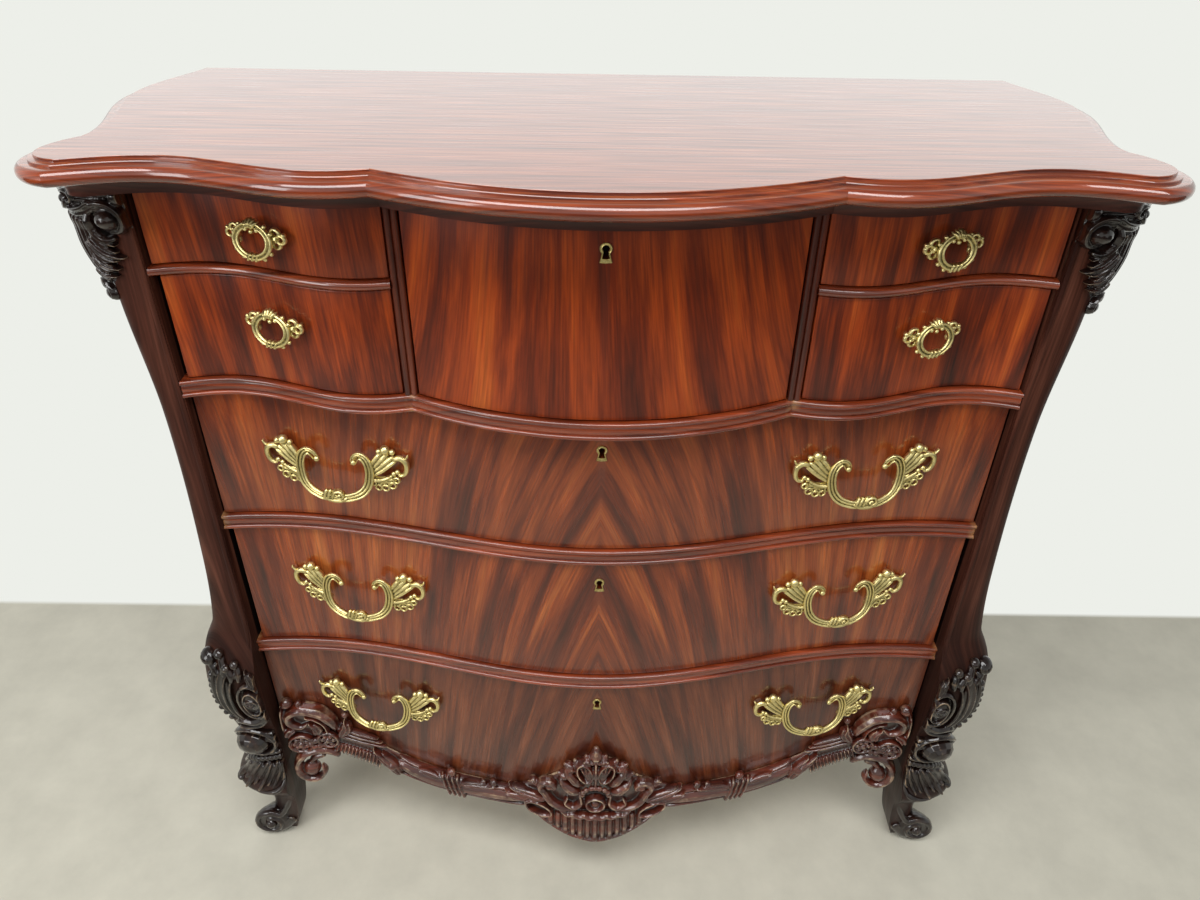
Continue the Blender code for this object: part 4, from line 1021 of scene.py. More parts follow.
@dataclass
class TopBoard:
    """Moulded top: flat board, two small quirks and a bullnose round the front and sides."""

    plan: Plan
    thickness: float = 0.024
    quirk_inset: float = 0.022
    quirk_step: float = 0.0035
    bullnose: float = 0.0085
    ease: float = 0.0007
    steps: int = 26

    def build(self) -> None:
        """Build the board and dress it."""
        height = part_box("top_board")[1][2]
        ledge = (self.quirk_inset - self.bullnose) / 2
        nose = 2 * self.quirk_step
        step, ease = self.quirk_step, self.ease
        profile = [(self.quirk_inset + ease, 0.0), (self.quirk_inset, ease), (self.quirk_inset, step),
                   (self.quirk_inset - ledge + ease, step * 1.2), (self.quirk_inset - ledge, step * 1.2 + ease),
                   (self.quirk_inset - ledge, nose)]
        for turn in spread(0.0, math.pi, 15):
            profile.append((self.bullnose * (1 - math.sin(turn)), nose + self.bullnose * (1 - math.cos(turn))))
        profile.append((self.quirk_inset, self.thickness))
        edges = [mirrored(self.plan.top_half(inset, self.plan.back_y, self.steps)) for inset, _ in profile]
        mesh = lofted([[(x, y, height - drop) for x, y in edge] for edge, (_, drop) in zip(edges, profile)])
        board = show("top_board_polished", mesh, TOP_WOOD, "case", ["top_board"], sharp=28.0)
        board.data.materials.append(EDGE_WOOD.material())
        for face in board.data.polygons:
            face.material_index = int(face.center.z < height - ease and face.normal.z < 0.99)


@dataclass
class CoveFrieze:
    """Cove moulding under the top, in three lengths."""

    plan: Plan
    inset: float = 0.044
    cove: float = 0.014
    back: float = 0.010
    panel_inset: float = 0.050

    def levels(self, z0: float, z1: float) -> list[tuple[float, float]]:
        """Inset and height up a quarter-round cove."""
        return [(self.inset - self.cove * (1 - math.sqrt(max(0.0, 1 - b * b))), z0 + (z1 - z0) * b)
                for b in spread(0.0, 1.0, 9)]

    def build(self) -> None:
        """Build the three lengths and dress them."""
        plan = self.plan
        low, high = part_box("front_frieze")
        rings = []
        for inset, z in self.levels(low[2], high[2]):
            half = plan.top_half(inset, plan.post_back_y, 20)
            half.append((plan.opening_half, plan.post_back_y))
            half += [(x, plan.upper_face(x) + self.back) for x in spread(plan.opening_half, 0.0, 40)]
            rings.append([(x, y, z) for x, y in mirrored(half)])
        show("front_cove", lofted(rings), DARK_WOOD, "case", ["front_frieze"])
        for side, sign in SIDES:
            low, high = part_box(f"{side}_frieze")
            ys = spread(low[1], high[1], 30)
            rings = []
            for inset, z in self.levels(low[2], high[2]):
                outer = [(sign * (plan.side_edge(y) - inset), y, z) for y in ys]
                inner = [(sign * (plan.side_edge(y) - self.panel_inset + plan.seat_gap), y, z) for y in reversed(ys)]
                rings.append(outer + inner)
            show(f"{side}_cove", lofted(rings), DARK_WOOD, "case", [f"{side}_frieze"])


@dataclass
class Rails:
    """Rails between the drawers: two beads with a channel between them."""

    plan: Plan
    depth: float = 0.045
    proud: float = 0.007
    bead_share: float = 0.25
    flat_share: float = 0.62
    quirk_share: float = 0.30
    worn_reach: float = 0.016
    worn_relief: float = 2.0

    def profile(self, z0: float, z1: float) -> list[tuple[float, float]]:
        """Section of a rail: a bead, a broad flat and a bead, with quirks between.

        Args:
            z0: Foot of the rail.
            z1: Head of the rail.

        Returns:
            Points of depth and height.
        """
        tall = z1 - z0
        bead = tall * self.bead_share
        section = [(self.depth, z1), (self.depth, z0)]
        quirk = self.quirk_share
        for low, high, bulge in ((z0, z0 + bead, 1.0), (z0 + bead, z1 - bead, self.flat_share), (z1 - bead, z1, 1.0)):
            for turn in spread(-math.pi / 2, math.pi / 2, 9):
                out = self.proud * (quirk + (bulge - quirk) * math.cos(turn) ** 0.6)
                section.append((-out, low + (high - low) / 2 * (1 + math.sin(turn))))
        return section

    def mark_worn(self, mesh: Mesh, place: float) -> None:
        """Mark the polish as rubbed through round one place on each side of a rail.

        Args:
            mesh: Mesh of the rail.
            place: Middle of the rubbed stretch, from the middle of the rail.
        """
        attribute = mesh.attributes.new("relief", "FLOAT", "POINT")
        for vertex, value in zip(mesh.vertices, attribute.data):
            value.value = self.worn_relief * max(0.0, 1.0 - abs(abs(vertex.co.x) - place) / self.worn_reach)

    def build(self) -> None:
        """Build the three rails and dress them."""
        plan = self.plan
        for name, face, worn in (("waist_rail", plan.upper_face, plan.partition_x),
                                 ("middle_rail", plan.lower_face, plan.opening_half),
                                 ("lower_rail", plan.lower_face, plan.opening_half)):
            low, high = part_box(name)
            section = self.profile(low[2], high[2])
            xs = spread(low[0], high[0], 181)
            mesh = lofted([[(x, face(x) + depth, z) for depth, z in section] for x in xs])
            self.mark_worn(mesh, worn)
            show(f"{name}_beaded", mesh, MOULDING_WOOD, "case", [name], sharp=40.0)


@dataclass
class Partitions:
    """Reeded partitions beside the hat drawer and beaded shelves between the small drawers."""

    plan: Plan
    proud: float = 0.007

    def build(self) -> None:
        """Build both partitions and both shelves and dress them."""
        plan = self.plan
        for side, sign in SIDES:
            low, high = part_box(f"{side}_partition")
            half = (high[0] - low[0]) / 2
            front = plan.upper_face(plan.partition_x) - self.proud
            reed = half / 2
            nose = []
            for middle in (-reed, reed):
                for turn in spread(math.pi, 0.0, 9):
                    nose.append((middle + reed * math.cos(turn), front + reed * (1 - math.sin(turn))))
            nose += [(half, high[1]), (-half, high[1])]
            outline = [(sign * plan.partition_x + x, y) for x, y in nose]
            show(f"{side}_partition_reeded", prism(outline, low[2], high[2]), UPRIGHT_WOOD, "case",
                 [f"{side}_partition"], sharp=40.0)
            self.build_shelf(side)

    def build_shelf(self, side: str) -> None:
        """Build one shelf with its half-round bead.

        Args:
            side: Name of the side.
        """
        low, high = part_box(f"{side}_small_shelf")
        tall = high[2] - low[2]
        rings = []
        for x in spread(low[0], high[0], 50):
            face = self.plan.upper_face(x)
            ring = [(x, high[1], high[2]), (x, high[1], low[2])]
            for turn in spread(-math.pi / 2, math.pi / 2, 11):
                ring.append((x, face - self.proud * math.cos(turn), low[2] + tall / 2 * (1 + math.sin(turn))))
            rings.append(ring)
        show(f"{side}_small_shelf_beaded", lofted(rings), MOULDING_WOOD, "case",
             [f"{side}_small_shelf"], sharp=40.0)


@dataclass
class SidePanels:
    """Side panels that follow the swell of the top."""

    plan: Plan
    inset: float = 0.050
    inner_clear: float = 0.0006

    def build(self) -> None:
        """Build both panels and dress them."""
        for side, sign in SIDES:
            low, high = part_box(f"{side}_side_panel")
            ys = spread(low[1], high[1], 48)
            outline = [(sign * (self.plan.side_edge(y) - self.inset), y) for y in ys]
            inner = sign * (self.plan.opening_half + self.inner_clear)
            outline += [(inner, ys[-1]), (inner, ys[0])]
            show(f"{side}_side_polished", prism(outline, low[2], high[2]), SIDE_WOOD, "case",
                 [f"{side}_side_panel"])


@dataclass
class Keyhole:
    """Keyhole and the plate that frames it."""

    radius: float = 0.0042
    drop: float = 0.0112
    plate_radius: float = 0.0068
    plate_drop: float = 0.0158
    thickness: float = 0.0016
    seat: float = 0.0002
    from_top: float = 0.0335

    def outline(self, radius: float, drop: float, count: int) -> list[tuple[float, float]]:
        """Round head over a flared skirt, as points across and up from the middle of the head."""
        head = [(radius * math.cos(a), radius * math.sin(a)) for a in spread(-math.pi * 0.28, math.pi * 1.28, count)]
        return head + [(-radius, -drop), (0.0, -drop * 1.04), (radius, -drop)]

    def cutter(self, y: float, z: float, depth: float) -> Mesh:
        """Body that cuts the hole through a front."""
        hole = self.outline(self.radius, self.drop, 15)
        return lofted([[(x, y + d, z + up) for x, up in hole] for d in (-depth, 2 * depth)])

    def plate(self, y: float, z: float) -> Mesh:
        """Plate with a rounded rim round the hole.

        Args:
            y: Face of the wood.
            z: Height of the middle of the head.

        Returns:
            The mesh.
        """
        outer = self.outline(self.plate_radius, self.plate_drop, 21)
        inner = self.outline(self.radius, self.drop, 21)
        rings = []
        for share, lift in ((0.0, 0.0), (0.0, 0.6), (0.10, 0.95), (0.25, 1.0), (0.55, 0.62), (0.85, 0.75),
                            (1.0, 0.9), (1.0, 0.0)):
            ring = []
            for (x0, z0), (x1, z1) in zip(outer, inner):
                ring.append((x0 + (x1 - x0) * share, y - self.seat - self.thickness * lift, z + z0 + (z1 - z0) * share))
            rings.append(ring)
        return lofted(rings, endless=True)


@dataclass
class DrawerFronts:
    """Veneered fronts of the eight drawers, with eased edges, and their keyholes."""

    plan: Plan
    keyhole: Keyhole = field(default_factory=Keyhole)
    thickness: float = 0.024
    ease: float = 0.0014
    shrunk: dict[str, tuple[float, float]] = field(default_factory=lambda: {
        "left_lower_small_drawer": (0.005, 0.0), "middle_long_drawer": (0.005, 0.003)})

    def front(self, face: Face, xs: Sequence[float], lower: Face, z1: float) -> Mesh:
        """Curved front with eased edges.

        Args:
            face: Face line in plan.
            xs: Places along the front.
            lower: Lower edge at each place.
            z1: Upper edge.

        Returns:
            The mesh.
        """
        ease = self.ease
        rings = []
        for i, x in enumerate(xs):
            end = ease if i in (0, len(xs) - 1) else 0.0
            z0 = lower(x)
            ring = []
            for edge, turn_from in ((z1, math.pi / 2), (z0, 0.0)):
                middle = edge - ease if edge == z1 else edge + ease
                for turn in spread(turn_from, turn_from - math.pi / 2, 4):
                    ring.append((x, face(x) + max(end, ease * (1 - math.cos(turn))), middle + ease * math.sin(turn)))
            ring += [(x, face(x) + self.thickness, z0), (x, face(x) + self.thickness, z1)]
            rings.append(ring)
        return lofted(rings)

    def build(self, apron: Apron) -> None:
        """Build all fronts and plates and dress them.

        Args:
            apron: Apron that hides the lower edge of the bottom front.
        """
        plan = self.plan
        for side, _ in SIDES:
            for tier in ("upper", "lower"):
                self.build_one(f"{side}_{tier}_small_drawer", plan.upper_face, RIBBON_VENEER, None, False)
        self.build_one("hat_drawer", plan.upper_face, HAT_VENEER, None, True)
        for tier in LONG_TIERS:
            lowest = tier == "bottom"
            # The lowest front takes the darker copy of the veneer, as painted shade
            veneer = SHADED_FLAME_VENEER if lowest else FLAME_VENEER
            self.build_one(f"{tier}_long_drawer", plan.lower_face, veneer, apron.cover_line if lowest else None, True)

    def build_one(self, drawer: str, face: Face, veneer: Mahogany, lower: Face | None, locked: bool) -> None:
        """Build one front.

        Args:
            drawer: Name of the drawer.
            face: Face line in plan.
            veneer: Finish of the front.
            lower: Lower edge along the front, or None for a level one.
            locked: Whether it has a keyhole.
        """
        low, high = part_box(f"{drawer}_front")
        left_gap, right_gap = self.shrunk.get(drawer, (0.0, 0.0))
        first, last = low[0] + left_gap, high[0] - right_gap
        ends = [first + self.ease * share for share in (0.0, 0.3, 1.0)]
        inner = spread(ends[-1], last - self.ease, 121 if "small" not in drawer else 61)
        xs = ends[:-1] + inner + [last - self.ease * 0.3, last]
        bottom = lower or (lambda x: low[2])
        mesh = self.front(face, xs, bottom, high[2])
        if locked:
            key_z = high[2] - self.keyhole.from_top
            mesh = cut(mesh, self.keyhole.cutter(face(0.0), key_z, self.thickness))
            plate = self.keyhole.plate(face(0.0), key_z)
            show(f"{drawer}_key_plate", plate, BRASS, drawer, [f"{drawer}_escutcheon"],
                 sharp=50.0)
        show(f"{drawer}_veneered", mesh, veneer, drawer, [f"{drawer}_front"])


class PostSkin:
    """Skin of the right-hand front post, on which its carvings lie."""

    row_step = 0.004
    arc_step = 0.001
    arc_reach = 0.150
    clear = 1.0

    def __init__(self, plan: Plan, foot: float, swell: Callable[[float], tuple[float, float]]) -> None:
        """Measure the skin row by row along the rounded corner.

        Args:
            plan: Plan of the chest.
            foot: Lowest height of the skin.
            swell: How far the skin stands off the post, and how much wider it is, at a height.
        """
        self.foot = foot
        places = np.arange(0.0, self.arc_reach, self.arc_step)
        rows = []
        for z in np.arange(foot, plan.post_top_z, self.row_step):
            proud, wide = swell(float(z))
            arc = np.array(plan.post_arc(float(z), proud, 90, wide))[:, :2]
            lengths = np.concatenate([[0.0], np.cumsum(np.linalg.norm(np.diff(arc, axis=0), axis=1))])
            rows.append(np.stack([np.interp(places, lengths, arc[:, k]) for k in range(2)], axis=1))
        self.table = np.array(rows)

    def place(self, rows: np.ndarray) -> np.ndarray:
        """Lay places on the skin, none of them inside the drawer opening.

        Args:
            rows: Rows of (distance from the inner edge, height, lift).

        Returns:
            Points of the chest's frame.
        """
        along = np.clip(rows[:, 0] / self.arc_step, self.clear, self.table.shape[1] - 1.001)
        up = np.clip((rows[:, 1] - self.foot) / self.row_step, 0.0, self.table.shape[0] - 1.001)
        i, j = up.astype(int), along.astype(int)
        s, t = (up - i)[:, None], (along - j)[:, None]
        low = self.table[i, j] * (1 - t) + self.table[i, j + 1] * t
        high = self.table[i + 1, j] * (1 - t) + self.table[i + 1, j + 1] * t
        flat = low * (1 - s) + high * s
        ahead = self.table[i, np.minimum(j + 4, self.table.shape[1] - 1)] - self.table[i, np.maximum(j - 4, 0)]
        length = np.maximum(np.linalg.norm(ahead, axis=1), 1e-9)[:, None]
        outward = np.stack([ahead[:, 1], -ahead[:, 0]], axis=1) / length
        return np.concatenate([flat + outward * rows[:, 2:3], rows[:, 1:2]], axis=1)


@dataclass
class FrontPosts:
    """Front posts: smooth swept shaft, carved knee and scroll foot."""

    plan: Plan
    foot_radius: float = 0.0335
    foot_out: float = 0.060
    foot_forward: float = 0.010
    foot_width: float = 0.044
    neck_z: float = 0.205
    neck_stout: float = 0.006
    reveal: float = 0.012
    skin: PostSkin = field(init=False)

    def __post_init__(self) -> None:
        """Measure the skin of the right-hand post."""
        self.skin = PostSkin(self.plan, 0.0, lambda z: (0.0, 0.0))

    def shaft(self, foot: float, head: float, count: int, stout: float = 0.0) -> Mesh:
        """Smooth body of the right-hand post between two heights.

        Args:
            foot: Lower height.
            head: Upper height.
            count: Rings on the way up.
            stout: How far it stands off the post half-way up.

        Returns:
            The mesh.
        """
        rings = []
        for z in spread(foot, head, count):
            _, _, inner, back = through(self.plan.post_rows(), z)
            x, y = self.plan.opening_half + inner, self.plan.face_y
            proud = stout * math.sin(math.pi * (z - foot) / (head - foot))
            rings.append([(x, y + back, z), (x, y + self.reveal, z)] + self.plan.post_arc(z, proud, 34, proud))
        return lofted(rings)

    def inner_bead(self) -> Mesh:
        """Fillet along the inner edge of the shaft.

        Returns:
            The mesh.
        """
        draft = Draft()
        carver = Carver(self.skin.place, draft)
        carver.stroke([(4.5, z) for z in spread(495, 1190, 11)], 8, 3.2)
        return draft.mesh()

    def carve_knee(self, carver: Carver) -> None:
        """Leaf, medallion, cabochon and leaf block of the knee.

        Args:
            carver: Carver on the post's skin.
        """
        carver.ball(71.5, 476, 12, 5)
        carver.stroke([(71.5, 470), (66, 456), (60, 444)], [16, 12, 7], [9, 7, 4])
        edge = [(60, 466), (68, 446), (73, 418), (74.5, 392), (70, 362), (59, 340)]
        carver.stroke([(u - 14, v - 4) for u, v in edge], [14, 30, 32, 26], [3, 6, 6, 4])
        carver.stroke(edge, [6, 8, 8, 5], [6, 9, 8, 5])
        carver.pearls([(u + 3, v) for u, v in edge[1:]], 5.2, 9, 4)
        for k in range(1, 4):
            inner = [(u - 9.5 * k, v - 4 * k) for u, v in edge]
            carver.stroke(inner, [4, 6, 6, 4], [4, 9, 9, 4], 1)
        for root, bend, tip, radius in (((50, 446), (48, 468), (51.5, 486), 7.2),
                                        ((38, 436), (36, 452), (42, 464), 6.2),
                                        ((26, 438), (24, 456), (28, 472), 6.6)):
            carver.stroke([root, bend, tip], [8, 13, 10], [5, 9, 8])
            carver.ball(*tip, radius, 5)
        carver.ball(13, 394, 20, -8, 1.8)
        carver.oval(13, 394, 20.5, 41, 8.5, 11)
        carver.oval(13, 392, 12.5, 28, 6, 13)
        carver.rosette(13, 396, 8.5, 5, 11)
        carver.leaf([(4, 430), (8, 450), (16, 466)], 13, 3, 8, 2)
        carver.stroke([(-2, 370), (4, 350), (22, 337), (44, 335), (60, 324)], [9, 15, 17, 14, 7], [7, 12, 14, 11, 6])
        carver.stroke([(0, 346), (14, 327), (34, 319), (56, 314)], [6, 8, 6], 10)
        carver.ball(39, 277, 26.5, 4)
        carver.oval(37, 277, 33, 34, 9, 13)
        carver.stroke(spiral((6, 290), (16, 6), (60, 420)), [8, 6], 11)
        carver.ball(6, 290, 6, 6)
        carver.stroke([(-1, 250), (34, 240), (70, 226)], [9, 10, 8], 10)
        carver.pearls([(4, 237), (34, 227), (64, 213)], 5.8, 9, 5)
        for root, bend, tip in (((4, 226), (8, 204), (22, 176)), ((20, 222), (28, 200), (46, 168)),
                                ((38, 218), (50, 198), (70, 166)), ((56, 212), (70, 194), (90, 172))):
            carver.leaf([root, bend, tip], 24, 3, 14, 1, (0.6, 1.0, 1.05, 0.55))
        carver.ball(90, 172, 8.5, 5)
        carver.stroke([(0, 190), (12, 170), (34, 160), (60, 156)], [8, 12, 8], [6, 9, 6])

    def carve_foot(self, draft: Draft) -> None:
        """Scroll foot: a tapered roll with a spiral ridge and an eye on its face.

        Args:
            draft: Mesh that takes the foot.
        """
        middle_x, radius = self.plan.opening_half + self.foot_out, self.foot_radius
        front = self.plan.face_y - self.foot_forward
        rings = []
        for depth, share in ((0.0, 0.80), (0.003, 0.94), (0.007, 1.0), (0.35 * self.foot_width, 0.96),
                             (0.7 * self.foot_width, 0.80), (self.foot_width, 0.55)):
            rings.append([(middle_x + radius * share * math.cos(a) - 0.35 * depth, front + depth,
                           radius * (1.0 + share * math.sin(a)) - radius * (1.0 - share) * 0.6)
                          for a in spread(0.0, 2 * math.pi, 33)[:-1]])
        draft.loft(rings)

        def on_face(rows: np.ndarray) -> np.ndarray:
            """Points in front of the roll for rows of (across, up, lift)."""
            return np.stack([middle_x + rows[:, 0], front - rows[:, 2] + 0.002, radius + rows[:, 1]], axis=1)

        carver = Carver(on_face, draft)
        coil = [(-50, 78), (-38, 50), (-22, 24)] + spiral((0, 0), (28.5, 10.5), (100, -330), 24)
        carver.stroke(coil, [10, 12, 11, 9, 7], [4, 7, 8, 7, 6], 0, 1.5)
        carver.ball(0, 0, 9.8, 3)
        carver.stroke([(-42, 12), (-26, -10), (-10, -24)], [18, 16, 10], 4, 0, 3.0)

    def build(self) -> None:
        """Build both posts and dress them."""
        neck = self.shaft(0.0, self.neck_z, 40, self.neck_stout)
        shaft, bead = self.shaft(self.neck_z, self.plan.post_top_z, 140), self.inner_bead()
        draft = Draft()
        self.carve_knee(Carver(self.skin.place, draft))
        self.carve_foot(draft)
        knee = fused(draft, voxel=0.0010, rounds=2, share=0.6)
        for side, sign in SIDES:
            meshes = [on_side(mesh, sign) for mesh in (shaft, bead, knee, neck)]
            piece = show(f"{side}_post_shaft", meshes[0], POST_WOOD, "case",
                         [f"{side}_front_post"], sharp=50.0)
            # Inner cheeks behind the reveal take a near-black finish as painted shade in the gaps
            piece.data.materials.append(REVEAL_SHADE.material())
            for polygon in piece.data.polygons:
                behind = polygon.center.y > self.plan.face_y + self.reveal
                polygon.material_index = int(behind and polygon.normal.x * sign < -0.9)
            show(f"{side}_post_fillet", meshes[1], POST_WOOD, "case")
            show(f"{side}_knee_carving", meshes[2], EBONISED_WOOD, "case", sharp=None)
            show(f"{side}_post_neck", meshes[3], LEG_WOOD, "case", sharp=50.0)


@dataclass
class Capitals:
    """Carved volute brackets on the heads of the front posts."""

    plan: Plan
    height: float = 0.128
    drop: float = 0.026
    sunk: float = 0.008

    def swell(self, z: float) -> tuple[float, float]:
        """Swelling of the ground of the carving.

        Args:
            z: Height.

        Returns:
            How far the ground stands off the post there, and how much wider it is.
        """
        rows = [(-0.25, -0.003, 0.000), (0.0, -0.003, 0.004), (0.12, -0.003, 0.012), (0.25, -0.0025, 0.019),
                (0.42, -0.002, 0.025), (0.57, -0.002, 0.028), (0.69, 0.004, 0.026), (0.85, 0.006, 0.025),
                (1.0, 0.009, 0.025)]
        proud, wide = through(rows, (z - self.plan.post_top_z + self.height) / self.height)
        return proud, wide

    def body(self, draft: Draft) -> None:
        """Ground of the carving, which swells from the drop to the abacus.

        Args:
            draft: Mesh that takes the ground.
        """
        rings = []
        for z in spread(self.plan.post_top_z - self.height, self.plan.post_top_z - 0.0005, 28):
            proud, wide = self.swell(z)
            inner = self.plan.post_arc(z, -self.sunk, 26)[::-1]
            rings.append(self.plan.post_arc(z, proud, 26, wide) + inner)
        draft.loft(rings)

    def carve(self, carver: Carver) -> None:
        """Volute, flutes, leaf fingers and drop.

        Args:
            carver: Carver on the ground of the carving.
        """
        carver.stroke([(-2, 1203), (30, 1203), (66, 1202)], 12, 8.5)
        carver.stroke([(14, 1195.5), (36, 1194.5), (58, 1193)], 6, 7)
        carver.ball(4, 1198.5, 10, 2)
        carver.stroke(spiral((80, 1189), (15, 5), (95, -230)), [9, 8, 5], 9)
        carver.ball(80, 1189, 6, 4)
        carver.stroke(spiral((62, 1195), (10, 3.5), (20, 320)), [6, 4], 8, 2)
        eye = (21.5, 1172)
        rim = [(78, 1180.5), (62, 1181), (48, 1185), (36, 1191.5)]
        rim += spiral(eye, (21.5, 14), (62, 310), 18)
        carver.stroke(rim, [6, 8, 10, 10, 10, 6], [6, 9, 12, 13, 11, 6], 1)
        carver.stroke(rim, [6, 10, 12, 12, 9], [4, 6, 7, 7, 5], 1, shift=5.5)
        carver.ball(*eye, 13.2, 5)
        carver.stroke([(20, 1149), (32, 1147), (43, 1155), (46, 1169), (42, 1183)], [8, 13, 14, 12, 6],
                      [9, 13, 12, 10, 4], 1)
        for k in range(6):
            carver.stroke([(84 - 6.2 * k, 1176 - 1.5 * k), (89 - 8.2 * k, 1150 - k), (83 - 8 * k, 1124),
                           (70 - 6.2 * k, 1103 + 1.5 * k), (56 - 3.6 * k, 1088 + 3 * k)], [7, 9.6, 9.4, 7.6, 5.2],
                          [4, 5.8, 5.6, 5, 3], 1)
        for root, bend, tip, wide in (((46, 1158), (36, 1147), (18, 1138.5), 14),
                                      ((54, 1148), (38, 1131), (12, 1125), 22),
                                      ((54, 1128), (43, 1115), (25, 1112), 14),
                                      ((54, 1113), (45, 1103), (27, 1103), 14)):
            carver.leaf([root, bend, tip], wide, 3, 9, 4, (0.7, 1.0, 0.85, 0.25))
        carver.ball(70, 1080, 11.5, 3)
        carver.ball(57, 1073, 10, 3)
        carver.oval(64, 1077.5, 15, 10, 4.5, 10, 1, 30)

    def build(self) -> None:
        """Build both capitals and dress them."""
        draft = Draft()
        self.body(draft)
        skin = PostSkin(self.plan, self.plan.post_top_z - self.height - self.drop, self.swell)
        self.carve(Carver(skin.place, draft))
        mesh = fused(draft, voxel=0.0008, rounds=1, share=0.6)
        for side, sign in SIDES:
            show(f"{side}_capital_carving", on_side(mesh, sign), EBONISED_WOOD, "case",
                 [f"{side}_capital"], sharp=None)


